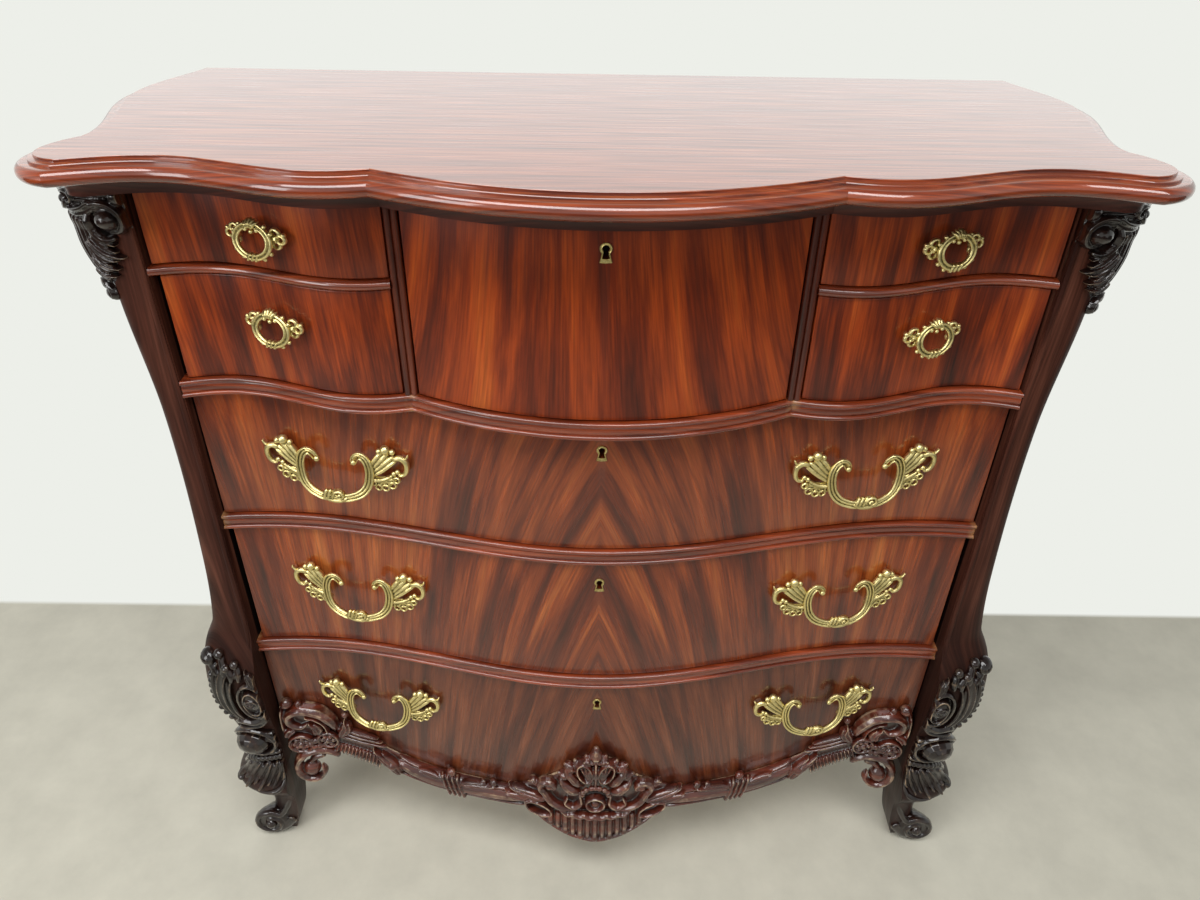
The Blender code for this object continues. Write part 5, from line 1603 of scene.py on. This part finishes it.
@dataclass
class Apron:
    """Carved apron on the bottom drawer: shell and fluted skirt, moulded band, leafy brackets."""

    plan: Plan
    drop: float = 0.140
    rise: float = 0.106
    shell_half: float = 0.145
    bracket_width: float = 0.220
    front_half: float = 0.529

    def rows(self) -> list[Point]:
        """Ground of the carving, from the middle outwards.

        Returns:
            Rows of place, lower edge, upper edge and thickness.
        """
        half, end, wide = self.shell_half, self.front_half, self.bracket_width
        shares = [
            (0.0, 0.96, 0.62, 0.012), (0.20 * half, 0.94, 0.48, 0.012), (0.45 * half, 0.82, 0.10, 0.011),
            (0.70 * half, 0.64, -0.14, 0.009), (half, 0.58, -0.36, 0.006), (half * 1.24, 0.58, -0.41, 0.005),
            (half * 1.65, 0.58, -0.41, 0.005), (end - wide, 0.54, -0.30, 0.005),
            (end - wide * 0.75, 0.40, -0.06, 0.005), (end - wide * 0.59, 0.33, 0.18, 0.005),
            (end - wide * 0.41, 0.20, 0.50, 0.006), (end - wide * 0.27, 0.12, 0.72, 0.006),
            (end - wide * 0.14, 0.10, 0.84, 0.006), (end, 0.18, 0.82, 0.005),
        ]
        return [(x, -self.drop * low, self.rise * high, thick) for x, low, high, thick in shares]

    def cover_line(self, x: float) -> float:
        """Lower edge of the front behind, half-way down the apron."""
        low, high, _ = through(self.rows(), abs(x))
        return self.plan.base_z + (low + high) / 2

    def place(self, rows: np.ndarray) -> np.ndarray:
        """Lay places on the apron.

        Args:
            rows: Rows of (across, height over the carcase's foot, lift).

        Returns:
            Points of the chest's frame.
        """
        faces = np.array([self.plan.lower_face(x) for x in rows[:, 0]])
        return np.stack([rows[:, 0], np.minimum(faces - rows[:, 2], faces - self.plan.seat_gap),
                         self.plan.base_z + rows[:, 1]], axis=1)

    def ground(self, draft: Draft) -> None:
        """Flat ground that the strokes stand on.

        Args:
            draft: Mesh that takes the ground.
        """
        rings = []
        for x in spread(-self.front_half, self.front_half, 211):
            low, high, thick = through(self.rows(), abs(x))
            section = [(low, 0.0), (high, 0.0), (high, thick * 0.6), (high - 0.004, thick), (low + 0.004, thick),
                       (low, thick * 0.6)]
            rings.append(self.place(np.array([(x, v, lift) for v, lift in section])).tolist())
        draft.loft(rings)

    def carve_skirt(self, carver: Carver) -> None:
        """Fluted skirt with scalloped foot and a waved band over it.

        Args:
            carver: Carver on the drawer's face.
        """
        pitch, last, head = 12.6, 6, -78
        for k in range(-last, last + 1):
            share = (k / last) ** 2
            u, foot = pitch * k, -138 + 30 * share
            carver.stroke([(u, head), (u, (foot + head) / 2), (u, foot)], [10.5, 12.5, 13, 12.5], [7, 11, 13, 10],
                          16 - 6 * share)
            if k % 2 == 0:
                carver.ball(u, foot + 2, 6.5, 22 - 6 * share)
        rim = [(-120, -62), (-100, -88), (-75.6, -110.5), (-40, -132)]
        rim += [(0, -140.5)] + [(-u, v) for u, v in reversed(rim)]
        carver.stroke(rim, 8.5, [8, 10, 11, 10, 8], [7, 12, 17, 12, 7])
        band = [(u, -74.5 + 8 * (u / 50) ** 2 + 1.8 * math.cos(u / 3)) for u in spread(-62, 62, 43)]
        carver.stroke(band, [6, 10, 12, 10, 6], 11, 19)

    def carve_shell(self, carver: Carver) -> None:
        """Palmette with cupped lobes over a beaded arch and a niche, between scrolls.

        Args:
            carver: Carver on the drawer's face.
        """
        carver.stroke([(0, -6), (0, 40), (0, 70)], [5, 9, 6], [9, 11, 10], 15)
        carver.stroke([(0, 54), (0, 74), (0, 91)], [16, 22, 8], [10, 14, 9], 10)
        carver.ball(0, 90, 4.5, 12)
        arch = [(21.5 * math.cos(a), -16 + 18 * math.sin(a)) for a in spread(0, math.pi, 9)]
        carver.pearls(arch, 4.6, 9, 22)
        carver.oval(0, -42, 15, 15.5, 6.5, 13, 14)
        carver.ball(0, -47, 8.5, 14)
        for sign in (-1, 1):
            carver.turn = sign
            carver.oval(17.5, 38, 11.5, 22.5, 5.6, 12, 14, -14)
            carver.pearls([(6, 62), (18, 64), (29, 50), (30, 32)], 3, 8, 20)
            for tip in ((10.5, 54), (17.5, 55), (24, 46)):
                carver.stroke([(6.5, 4), (0.5 * tip[0] + 5, 30), tip], [3, 5.2, 4.2], [8, 10, 8], 13)
            carver.stroke([(24, 0), (36, 16), (46, 34), (47, 46)], [10, 19, 17, 6], [10, 15, 14, 8], 12)
            carver.stroke([(24, -18), (40, -10), (54, 6), (57, 18)], [12, 22, 19, 6], [10, 16, 15, 8], 12)
            for u, v in ((15, 70.5), (33, 58), (49, 47.5), (60, 24)):
                carver.stroke([(0.70 * u, 0.72 * v), (0.86 * u, 0.90 * v), (u, v)], [14, 18, 10], [10, 14, 9], 9)
                carver.ball(u, v, 4, 12)
            carver.stroke([(24, -62), (52, -60), (74, -46), *spiral((77, -8), (16.5, 7), (-55, 275), 16)],
                          [8, 13, 15, 14, 12, 8], [9, 14, 15, 14, 13, 10], 12)
            carver.ball(77, -8, 7.5, 16)
            carver.stroke([(26, -22), (24, -42), (36, -54), (50, -46), (46, -34)], [6, 9, 10, 8, 5],
                          [8, 12, 13, 11, 8], 14)
            carver.leaf([(82, -46), (114, -38), (150, -22)], 20, 3, 13, 10)
            carver.leaf([(112, -52), (132, -48), (160, -40)], 14, 2, 11, 12)
            carver.leaf([(94, -14), (104, -4), (116, -12)], 12, 2, 10, 8)
            carver.oval(96, -69, 24, 13.5, 7.5, 14, 10, 31)
            carver.stroke([(82, -77), (96, -69), (110, -61)], [6, 14, 6], 8, 6)

    def carve_side(self, carver: Carver) -> None:
        """Moulded band and leafy bracket of the side to which the carver is turned.

        Args:
            carver: Carver on the drawer's face.
        """
        band = [(112, -60), (170, -62), (229, -63), (270, -61), (310, -52), (345, -38)]
        carver.stroke(band, [22, 30, 32, 32, 26], [13, 16, 17, 17, 13], 3)
        for shift, width, height in ((19, 7, 12), (-19, 7.5, 10)):
            carver.stroke(band, width, height, 3, shift=shift)
        for k in range(4):
            lean = 8.5 * (k - 1.5)
            carver.stroke([(238 + lean, -88), (243 + lean, -62), (250 + lean, -36)], 8, [10, 14, 10], 10)
        carver.ball(246, -30, 8, 10)
        carver.leaf([(232, -50), (205, -42), (168, -36)], 16, 3, 10, 12)
        carver.ball(190, -34, 5.5, 12)
        carver.ball(172, -30, 6.5, 12)
        carver.leaf([(262, -48), (290, -40), (316, -30)], 12, 2, 8, 13)
        carver.leaf([(338, -62), (352, -40), (372, -14), (384, 0)], 24, 3, 13, 8)
        carver.ball(352, -40, 9, 14)
        for k in range(13):
            u = 374 + 5.8 * k
            middle = -44 + 0.5 * (u - 374)
            reach = 16.5 - 0.4 * k
            carver.stroke([(u + 5, middle - reach), (u, middle), (u - 4, middle + reach)], 6.2, [8, 14, 8], 4)
        for k in range(3):
            carver.stroke([(358 + 6 * k, -2 + 9 * k), (396, 8 + 9 * k), (440, 22 + 10 * k)], [4, 7, 6], [6, 10, 9], 5)
        carver.rosette(503, 4, 19.5, 7, 10)
        carver.rosette(456, 15, 16.5, 6, 12)
        carver.stroke([(440, 34), (444, 58), (462, 82), (490, 90), (512, 78), (514, 56), (498, 44), (484, 52)],
                      [12, 19, 20, 19, 16, 12, 8], [10, 17, 19, 17, 13, 10], 6)
        carver.stroke([(452, 34), (456, 56), (470, 70), (488, 74)], [5, 6, 4], 12, 10)
        carver.leaf([(474, 30), (470, 46), (486, 62)], 18, 3, 12, 10)
        carver.leaf([(434, 26), (420, 46), (424, 68)], 18, 3, 12, 8)
        carver.leaf([(522, 24), (518, 36), (500, 46)], 14, 2, 11, 10)
        carver.ball(512, 104, 10, 10)
        carver.ball(493, 102, 6, 10)
        carver.ball(420, 76, 6, 10)
        arch = [(446, -40), (452, -24), (470, -14), (496, -20), (515, -42), (519, -70), (506, -90),
                  (488, -91), (477, -78), (480, -62)]
        carver.stroke(arch, [10, 16, 18, 17, 14, 12, 9], [10, 16, 17, 16, 14, 11], 5, 1.0)
        carver.ball(498, -68, 15, 4, 1.2)
        carver.stroke([(470, -34), (486, -40), (498, -52)], [12, 14, 10], 9, 3, 1.0)
        carver.pearls([(472, 0), (480, -4), (486, 4), (478, 12)], 5.6, 4, 14)
        carver.stroke([(524, 26), (526, 56), (524, 88)], 7, 13, 4)

    def build(self) -> None:
        """Build the apron and dress it."""
        draft = Draft()
        self.ground(draft)
        carver = Carver(self.place, draft)
        self.carve_skirt(carver)
        self.carve_shell(carver)
        for _, sign in SIDES:
            carver.turn = sign
            self.carve_side(carver)
        mesh = fused(draft, voxel=0.0011, rounds=1, share=0.5)
        show("apron_carving_detail", mesh, CARVED_WOOD, "bottom_long_drawer",
             ["apron_carving"], sharp=None)


def off_wood(rows: np.ndarray) -> np.ndarray:
    """Points of a pull in its own frame for rows of (across, up, distance off the wood)."""
    return np.stack([rows[:, 0], -rows[:, 2], rows[:, 1]], axis=1)


@dataclass
class Pulls:
    """Cast brass pulls: long leafy bails and small oval rings."""

    plan: Plan
    large_spacing: float = 0.134
    small_spacing: float = 0.056
    post_radius: float = 0.004
    stand_off_mm: float = 9.0
    ring_width_mm: float = 22.5
    ring_height_mm: float = 20.5
    ring_lean_mm: float = 6.0
    ring_squash: float = 0.87
    large_x: float = 0.350
    large_drop: float = 0.1130
    small_x: float = 0.390
    small_drop: float = 0.0555

    def post(self, carver: Carver, u: float, v: float) -> None:
        """Round fixing post between the wood and the casting.

        Args:
            carver: Carver of the pull.
            u: Its place across.
            v: Its height.
        """
        rings = [[(u + self.post_radius * math.cos(a), -depth, v + self.post_radius * math.sin(a))
                  for a in spread(0.0, 2 * math.pi, 13)[:-1]] for depth in (0.0006, self.stand_off_mm / 1000 + 0.001)]
        carver.draft.loft(rings)

    def large(self) -> Mesh:
        """Bail pull: ridged bail with hooked ends, scrolled collar and a fluted leaf wing at each end.

        Returns:
            The mesh, in the pull's own frame.
        """
        draft = Draft()
        carver = Carver(off_wood, draft, 8)
        half = [(-25.5, 27.5, 13), (-30, 36.5, 13.5), (-37, 39.5, 14), (-44, 34, 15),
                (-48, 22, 16.5), (-47.6, 8, 19), (-44, -5, 22), (-35, -15, 25),
                (-21, -20, 28), (-7, -21, 29.5)]
        path = half + [(-u, v, w) for u, v, w in reversed(half)]
        lifts = [w for _, _, w in path]
        body = [7, 9.5, 11.2, 11.8, 11.8, 11.8, 11.8, 11.2, 9.5, 7]
        carver.stroke(path, body, 3.2, lifts, 1.0)
        for shift in (-4.4, 0, 4.4):
            crown = [w + (2.2 if shift else 1.4) for w in lifts]
            carver.stroke(path, [2.6, 3.7, 4, 4, 3.7, 2.6], 2.8, crown, 1.0, shift=shift)
        carver.stroke([(-18, -19), (-6, -25.5), (8, -25.5), (18, -19)], [5, 8, 8, 5], 4.5, 30, 1.0)
        carver.stroke(spiral((7.5, -16.5), (8.5, 2.5), (200, -200)), [5, 3.6], 5, 31.5, 1.0)
        carver.ball(7.5, -16.5, 2.8, 33)
        for u in (-13, -7.5, -2):
            carver.stroke([(u - 2, -25), (u, -17), (u + 3.5, -8.5)], [4, 6, 4.4], [3, 5.2, 3.4], 30.5, 1.0)
        for sign in (-1, 1):
            carver.turn = sign
            carver.ball(25.5, 26.8, 4.2, 14)
            carver.stroke([(25, 33), (31, 40), (40, 41)], [3, 5, 3], 3.5, 15, 1.0)
            carver.stroke([(47, 14), (60, 27), (74, 40)], [12, 23, 22], 3, [14, 11.2, 9.5], 1.3)
            for line, width in ((((47, 20), (55, 33), (63, 43), (68, 48)), 7.4),
                                (((47.5, 16.5), (58.5, 28.5), (68, 39), (74, 45.5)), 7.6),
                                (((48.5, 13), (61.5, 23.5), (72, 33), (80, 40)), 7.6),
                                (((50, 9.5), (63.5, 18), (74, 26.5), (84, 34.5)), 7.2)):
                carver.stroke(line, [width * 0.7, width, width * 1.05, width * 0.8], [3.4, 4.4, 4.6, 3.6],
                              [15, 12.5, 11, 9.5], 1.3)
            carver.stroke([(78, 35), (88, 38.5), (95.5, 34), (97.5, 24.5), (94.5, 15), (88, 11.5), (84, 15.5)],
                          [7.8, 8.2, 7.8, 7.2, 6.4, 5.6, 4.4], 4, 9.8, 1.2)
            carver.stroke([(93, 35.5), (98.5, 40), (101, 45.5)], [4.6, 3.6, 2.2], 3, 9, 1.0)
            carver.ball(70.5, 50, 6.6, 11)
            carver.ball(61.5, 46.5, 4, 10.5)
            carver.ball(79.5, 47, 4.2, 10)
            carver.stroke([(47, 3), (59, -1), (70, 2)], [9, 14, 12], 3, 10, 1.2)
            carver.ball(83.5, 16, 3.4, 10)
            carver.stroke([(45, 4), (53, 1), (62, 2), (71, 6), (77, 11)], [5.6, 6, 5.4, 5, 4], 3.8,
                          [16, 12.5, 10.5, 9.5, 9.5], 1.2)
            carver.ball(78, 12, 3.6, 9.5)
            for u, v, radius in ((81.5, 3, 5.6), (75, -6, 6.6), (65, -11, 6.2),
                                 (55.5, -11, 5.8), (49, -5, 4.6)):
                carver.stroke([(64, 2), ((u + 64) / 2, (v + 2) / 2), (u, v)], [5, 6.4, 7.6], 3.4, 9.5, 1.2)
                carver.oval(u, v, radius * 0.72, radius * 0.72, 3.4, 3.8, 10)
            self.post(carver, sign * self.large_spacing / 2, 0.024)
        return fused(draft, voxel=0.0005, rounds=1, share=0.7)

    def small(self) -> Mesh:
        """Ring pull: ridged oval ring, crown leaf, collar and a pierced lug at each side.

        Returns:
            The mesh, in the pull's own frame.
        """
        draft = Draft()
        carver = Carver(off_wood, draft, 8)
        base = self.stand_off_mm + 3.6

        def lean(angle: float) -> float:
            """Distance of the ring's middle off the wood at an angle from its crown."""
            return base + self.ring_lean_mm * (1 - math.cos(angle)) / 2

        for grow in (-2.6, 0.0, 2.6):
            wide, tall = self.ring_width_mm + grow, self.ring_height_mm + grow
            rings = []
            for a in spread(0.0, 2 * math.pi, 49)[:-1]:
                depth = lean(a) + (1.4 if grow else 0.0)
                ring = []
                for b in spread(0.0, 2 * math.pi, 11)[:-1]:
                    out = 1.9 * math.cos(b)
                    ring.append(((wide + out) * math.sin(a) / 1000, (2.7 * math.sin(b) - depth) / 1000,
                                 (tall + out) * math.cos(a) / 1000))
                rings.append(ring)
            draft.loft(rings, endless=True)
        beads_wide, beads_tall = self.ring_width_mm + 5.2, self.ring_height_mm + 5.2
        for angle in (38, 62, 122, 148, 212, 238, 298, 322):
            a = math.radians(angle)
            carver.ball(beads_wide * math.sin(a), beads_tall * math.cos(a), 2.8, lean(a))
        for k in range(-2, 3):
            carver.stroke([(1.5 * k, 16.5), (3 * k, 23), (4.8 * k, 30.5 - 1.2 * k * k)], [3, 4.8, 3], 3.6,
                          [base + 3, base + 4, base - 1], 1.0)
        for u, v, radius in ((-7.5, 14.5, 2.6), (7.5, 14.5, 2.6), (0, 12.5, 3)):
            carver.ball(u, v, radius, base + 3)
        for u in (-5.5, 0, 5.5):
            carver.stroke([(u - 2.5, -26.5), (u, -20.5), (u + 2.5, -14.5)], 4.2, 4.8, lean(math.pi), 1.0)
        for sign in (-1, 1):
            carver.turn = sign
            for u, v, radius in ((27.5, 12, 5.2), (34, 4.5, 5.2), (27.5, -3, 4.8)):
                carver.oval(u, v, radius, radius, 5, 3.6, self.stand_off_mm)
            carver.stroke([(20, 4), (31, 4.5)], 11, 4.5, self.stand_off_mm + 1, 1.0)
            carver.ball(37.5, 10.5, 3.2, self.stand_off_mm)
            self.post(carver, sign * self.small_spacing / 2, 0.0045)
        mesh = fused(draft, voxel=0.0005, rounds=1, share=0.8)
        mesh.transform(Matrix.Diagonal((1.0, 1.0, self.ring_squash, 1.0)))
        return mesh

    def hang(self, name: str, mesh: Mesh, drawer: str, face: Face, x: float, z: float,
             spacing: float) -> None:
        """Set a pull on a curved front so that both of its posts meet the wood.

        Args:
            name: Node of the frame that it stands for.
            mesh: Mesh of the pull.
            drawer: Drawer that carries it.
            face: Face line in plan.
            x: Its place along the front.
            z: Its height.
            spacing: Distance between its posts.
        """
        half = spacing / 2
        reach = half + self.post_radius
        inner, outer = face(x - half), face(x + half)
        turn = math.atan2(outer - inner, spacing)
        nearest = min(face(x + s) - (inner + (outer - inner) * (s + half) / spacing)
                      for s in (-reach, half - reach, reach - half, reach))
        placed = mesh.copy()
        y = (inner + outer) / 2 + min(nearest, 0.0)
        placed.transform(Matrix.Translation((x, y, z)) @ Matrix.Rotation(turn, 4, UP))
        show(f"{name}_cast", placed, BRASS, drawer, [name], sharp=None)

    def build(self) -> None:
        """Build all pulls and dress them."""
        plan = self.plan
        large, small = self.large(), self.small()
        for side, sign in SIDES:
            for tier in ("upper", "lower"):
                drawer = f"{side}_{tier}_small_drawer"
                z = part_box(f"{drawer}_front")[1][2] - self.small_drop
                self.hang(f"{drawer}_pull", small, drawer, plan.upper_face, sign * self.small_x, z,
                          self.small_spacing)
            for tier in LONG_TIERS:
                drawer = f"{tier}_long_drawer"
                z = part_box(f"{drawer}_front")[1][2] - self.large_drop
                self.hang(f"{drawer}_{side}_pull", large, drawer, plan.lower_face, sign * self.large_x, z,
                          self.large_spacing)


@dataclass
class PlainPieces:
    """Pieces of the frame whose shape is right as it is, which only take a finish."""

    nodes: dict[str, Object]

    def dress(self) -> None:
        """Give each kept node its finish."""
        for name, node in self.nodes.items():
            if name.endswith(("_box", "dustboard")) or name in ("back_panel", "base_board"):
                self.paint(node, OAK)
            elif name.endswith("_lock"):
                self.paint(node, IRON)
            elif name.endswith("rear_post") or name == "top_rail":
                self.paint(node, SIDE_WOOD)

    def paint(self, node: Object, finish: Finish) -> None:
        """Give one node a finish.

        Args:
            node: The node.
            finish: Its finish.
        """
        for place in node.material_slots:
            place.material = finish.material()
        LOG.info("%s: finished as %s", node.name, finish.name)


@dataclass
class Studio:
    """Pale floor, soft light and the camera at the photographed angle."""

    floor_half: float = 30.0
    near_floor: str = "#cbc7b8"
    far_floor: str = "#4c4a45"
    behind_chest: str = "#edefe9"
    pool: tuple[float, float] = (1.5, 3.0)
    wall_line: float = 0.485
    wall_blend: float = 0.006
    air: str = "#eef0ec"
    focal_px: float = 885.0
    frame_px: float = 1200.0
    pitch: float = 33.88
    roll: float = -1.02
    yaw: float = 0.43
    eye: tuple[float, float, float] = (-0.0093, -1.0806, 1.5173)

    def floor(self) -> None:
        """Flat floor: pale to the eye and near white behind the chest; far off, the polish mirrors it darker."""
        mesh = bpy.data.meshes.new("floor")
        h = self.floor_half
        mesh.from_pydata([(-h, -h, 0.0), (h, -h, 0.0), (h, h, 0.0), (-h, h, 0.0)], [], [(0, 1, 2, 3)])
        floor = bpy.data.objects.new("floor", mesh)
        bpy.context.scene.collection.objects.link(floor)
        material = bpy.data.materials.new("pale_floor_concrete")
        material.use_nodes = True
        tree = material.node_tree
        shader = tree.nodes["Principled BSDF"]
        place = add_node(tree, "ShaderNodeTexCoord", {}, "Object")
        away = add_node(tree, "ShaderNodeVectorMath", {0: place}, "Value", operation="LENGTH")
        outside = add_node(tree, "ShaderNodeMapRange", {
            "Value": away, "From Min": self.pool[0], "From Max": self.pool[1]})
        path = add_node(tree, "ShaderNodeLightPath", {}).node.outputs
        unseen = add_node(tree, "ShaderNodeMath", {0: 1.0, 1: path["Is Camera Ray"]}, operation="SUBTRACT")
        outside = add_node(tree, "ShaderNodeMath", {0: outside, 1: unseen}, operation="MULTIPLY")
        depth = add_node(tree, "ShaderNodeSeparateXYZ", {0: place}, "Y")
        behind = add_node(tree, "ShaderNodeMapRange", {
            "Value": depth, "From Min": self.wall_line - self.wall_blend,
            "From Max": self.wall_line + self.wall_blend})
        mottle = add_node(tree, "ShaderNodeTexNoise", {
            "Vector": place, "Scale": 9.0, "Detail": 8.0, "Roughness": 0.65})
        tone = add_node(tree, "ShaderNodeMapRange", {
            "Value": mottle, "From Min": 0.3, "From Max": 0.7, "To Min": 0.90, "To Max": 1.06})
        tones = {"Factor": outside, 6: linear(self.near_floor), 7: linear(self.far_floor)}
        plain = add_node(tree, "ShaderNodeMix", tones, 2, data_type="RGBA")
        colour = add_node(tree, "ShaderNodeMix", {
            "Factor": 1.0, 6: plain, 7: tone}, 2, data_type="RGBA", blend_type="MULTIPLY")
        feed(tree, shader, {"Base Color": colour, "Roughness": 0.7})
        seen = path["Is Camera Ray"]
        for ray in ("Is Glossy Ray", "Is Transmission Ray"):
            seen = add_node(tree, "ShaderNodeMath", {0: seen, 1: path[ray]}, operation="MAXIMUM")
        white = add_node(tree, "ShaderNodeMath", {0: seen, 1: behind}, operation="MULTIPLY")
        glow = add_node(tree, "ShaderNodeEmission", {"Color": linear(self.behind_chest)})
        joined = add_node(tree, "ShaderNodeMixShader", {0: white, 1: shader.outputs["BSDF"], 2: glow})
        feed(tree, tree.nodes["Material Output"], {"Surface": joined})
        mesh.materials.append(material)

    def air_light(self) -> None:
        """Pale surroundings that darken overhead, so that the polish keeps crisp highlights."""
        world = bpy.data.worlds.new("studio")
        bpy.context.scene.world = world
        world.use_nodes = True
        tree = world.node_tree
        way = add_node(tree, "ShaderNodeTexCoord", {}, "Generated")
        height = add_node(tree, "ShaderNodeSeparateXYZ", {0: way}, "Z")
        strength = add_node(tree, "ShaderNodeMapRange", {
            "Value": height, "From Min": 0.35, "From Max": 0.80, "To Min": 0.85, "To Max": 0.25})
        feed(tree, tree.nodes["Background"], {"Color": linear(self.air), "Strength": strength})

    def lamp(self, name: str, place: Point, aim: Point, size: tuple[float, float], power: float) -> None:
        """Soft rectangular lamp.

        Args:
            name: Name of the lamp.
            place: Where it hangs.
            aim: What it faces.
            size: Its width and height.
            power: Its power in watts.
        """
        light = bpy.data.lights.new(name, "AREA")
        light.shape = "RECTANGLE"
        light.size, light.size_y = size
        light.energy = power
        lamp = bpy.data.objects.new(name, light)
        lamp.location = place
        lamp.rotation_euler = (Vector(aim) - Vector(place)).to_track_quat("-Z", "Y").to_euler()
        bpy.context.scene.collection.objects.link(lamp)

    def camera(self) -> None:
        """Camera at the photographed place, tilt and focal length."""
        pitch, roll, yaw = (math.radians(v) for v in (self.pitch, self.roll, self.yaw))
        ahead = Vector((math.sin(yaw) * math.cos(pitch), math.cos(yaw) * math.cos(pitch), -math.sin(pitch)))
        right = Vector((math.cos(yaw), -math.sin(yaw), 0.0))
        down = ahead.cross(right)
        across = right * math.cos(roll) + down * math.sin(roll)
        below = -right * math.sin(roll) + down * math.cos(roll)
        data = bpy.data.cameras.new("camera")
        data.sensor_width = 36.0
        data.lens = self.focal_px / self.frame_px * data.sensor_width
        camera = bpy.data.objects.new("camera", data)
        basis = Matrix((across, -below, -ahead)).transposed().to_4x4()
        camera.matrix_world = Matrix.Translation(self.eye) @ basis
        bpy.context.scene.collection.objects.link(camera)
        bpy.context.scene.camera = camera

    def build(self) -> None:
        """Set up the studio."""
        bpy.context.scene.view_settings.view_transform = "Standard"
        self.floor()
        self.air_light()
        self.lamp("overhead", (-0.2, -1.1, 2.9), (0.0, -0.15, 0.6), (2.6, 0.9), 56.0)
        self.lamp("front_left", (-2.4, -2.2, 1.9), (0.0, -0.1, 0.6), (1.2, 1.6), 32.0)
        self.lamp("behind", (0.0, 3.2, 2.10), (0.0, 0.0, 1.2), (7.4, 1.0), 16.0)
        self.camera()


def main() -> None:
    """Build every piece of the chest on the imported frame."""
    logging.basicConfig(level=logging.INFO, format="%(message)s")
    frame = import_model()
    plan = Plan()
    Studio().build()
    TopBoard(plan).build()
    CoveFrieze(plan).build()
    Rails(plan).build()
    Partitions(plan).build()
    SidePanels(plan).build()
    apron = Apron(plan)
    DrawerFronts(plan).build(apron)
    FrontPosts(plan).build()
    Capitals(plan).build()
    apron.build()
    Pulls(plan).build()
    PlainPieces(frame["nodes"]).dress()


if __name__ == "__main__":
    main()
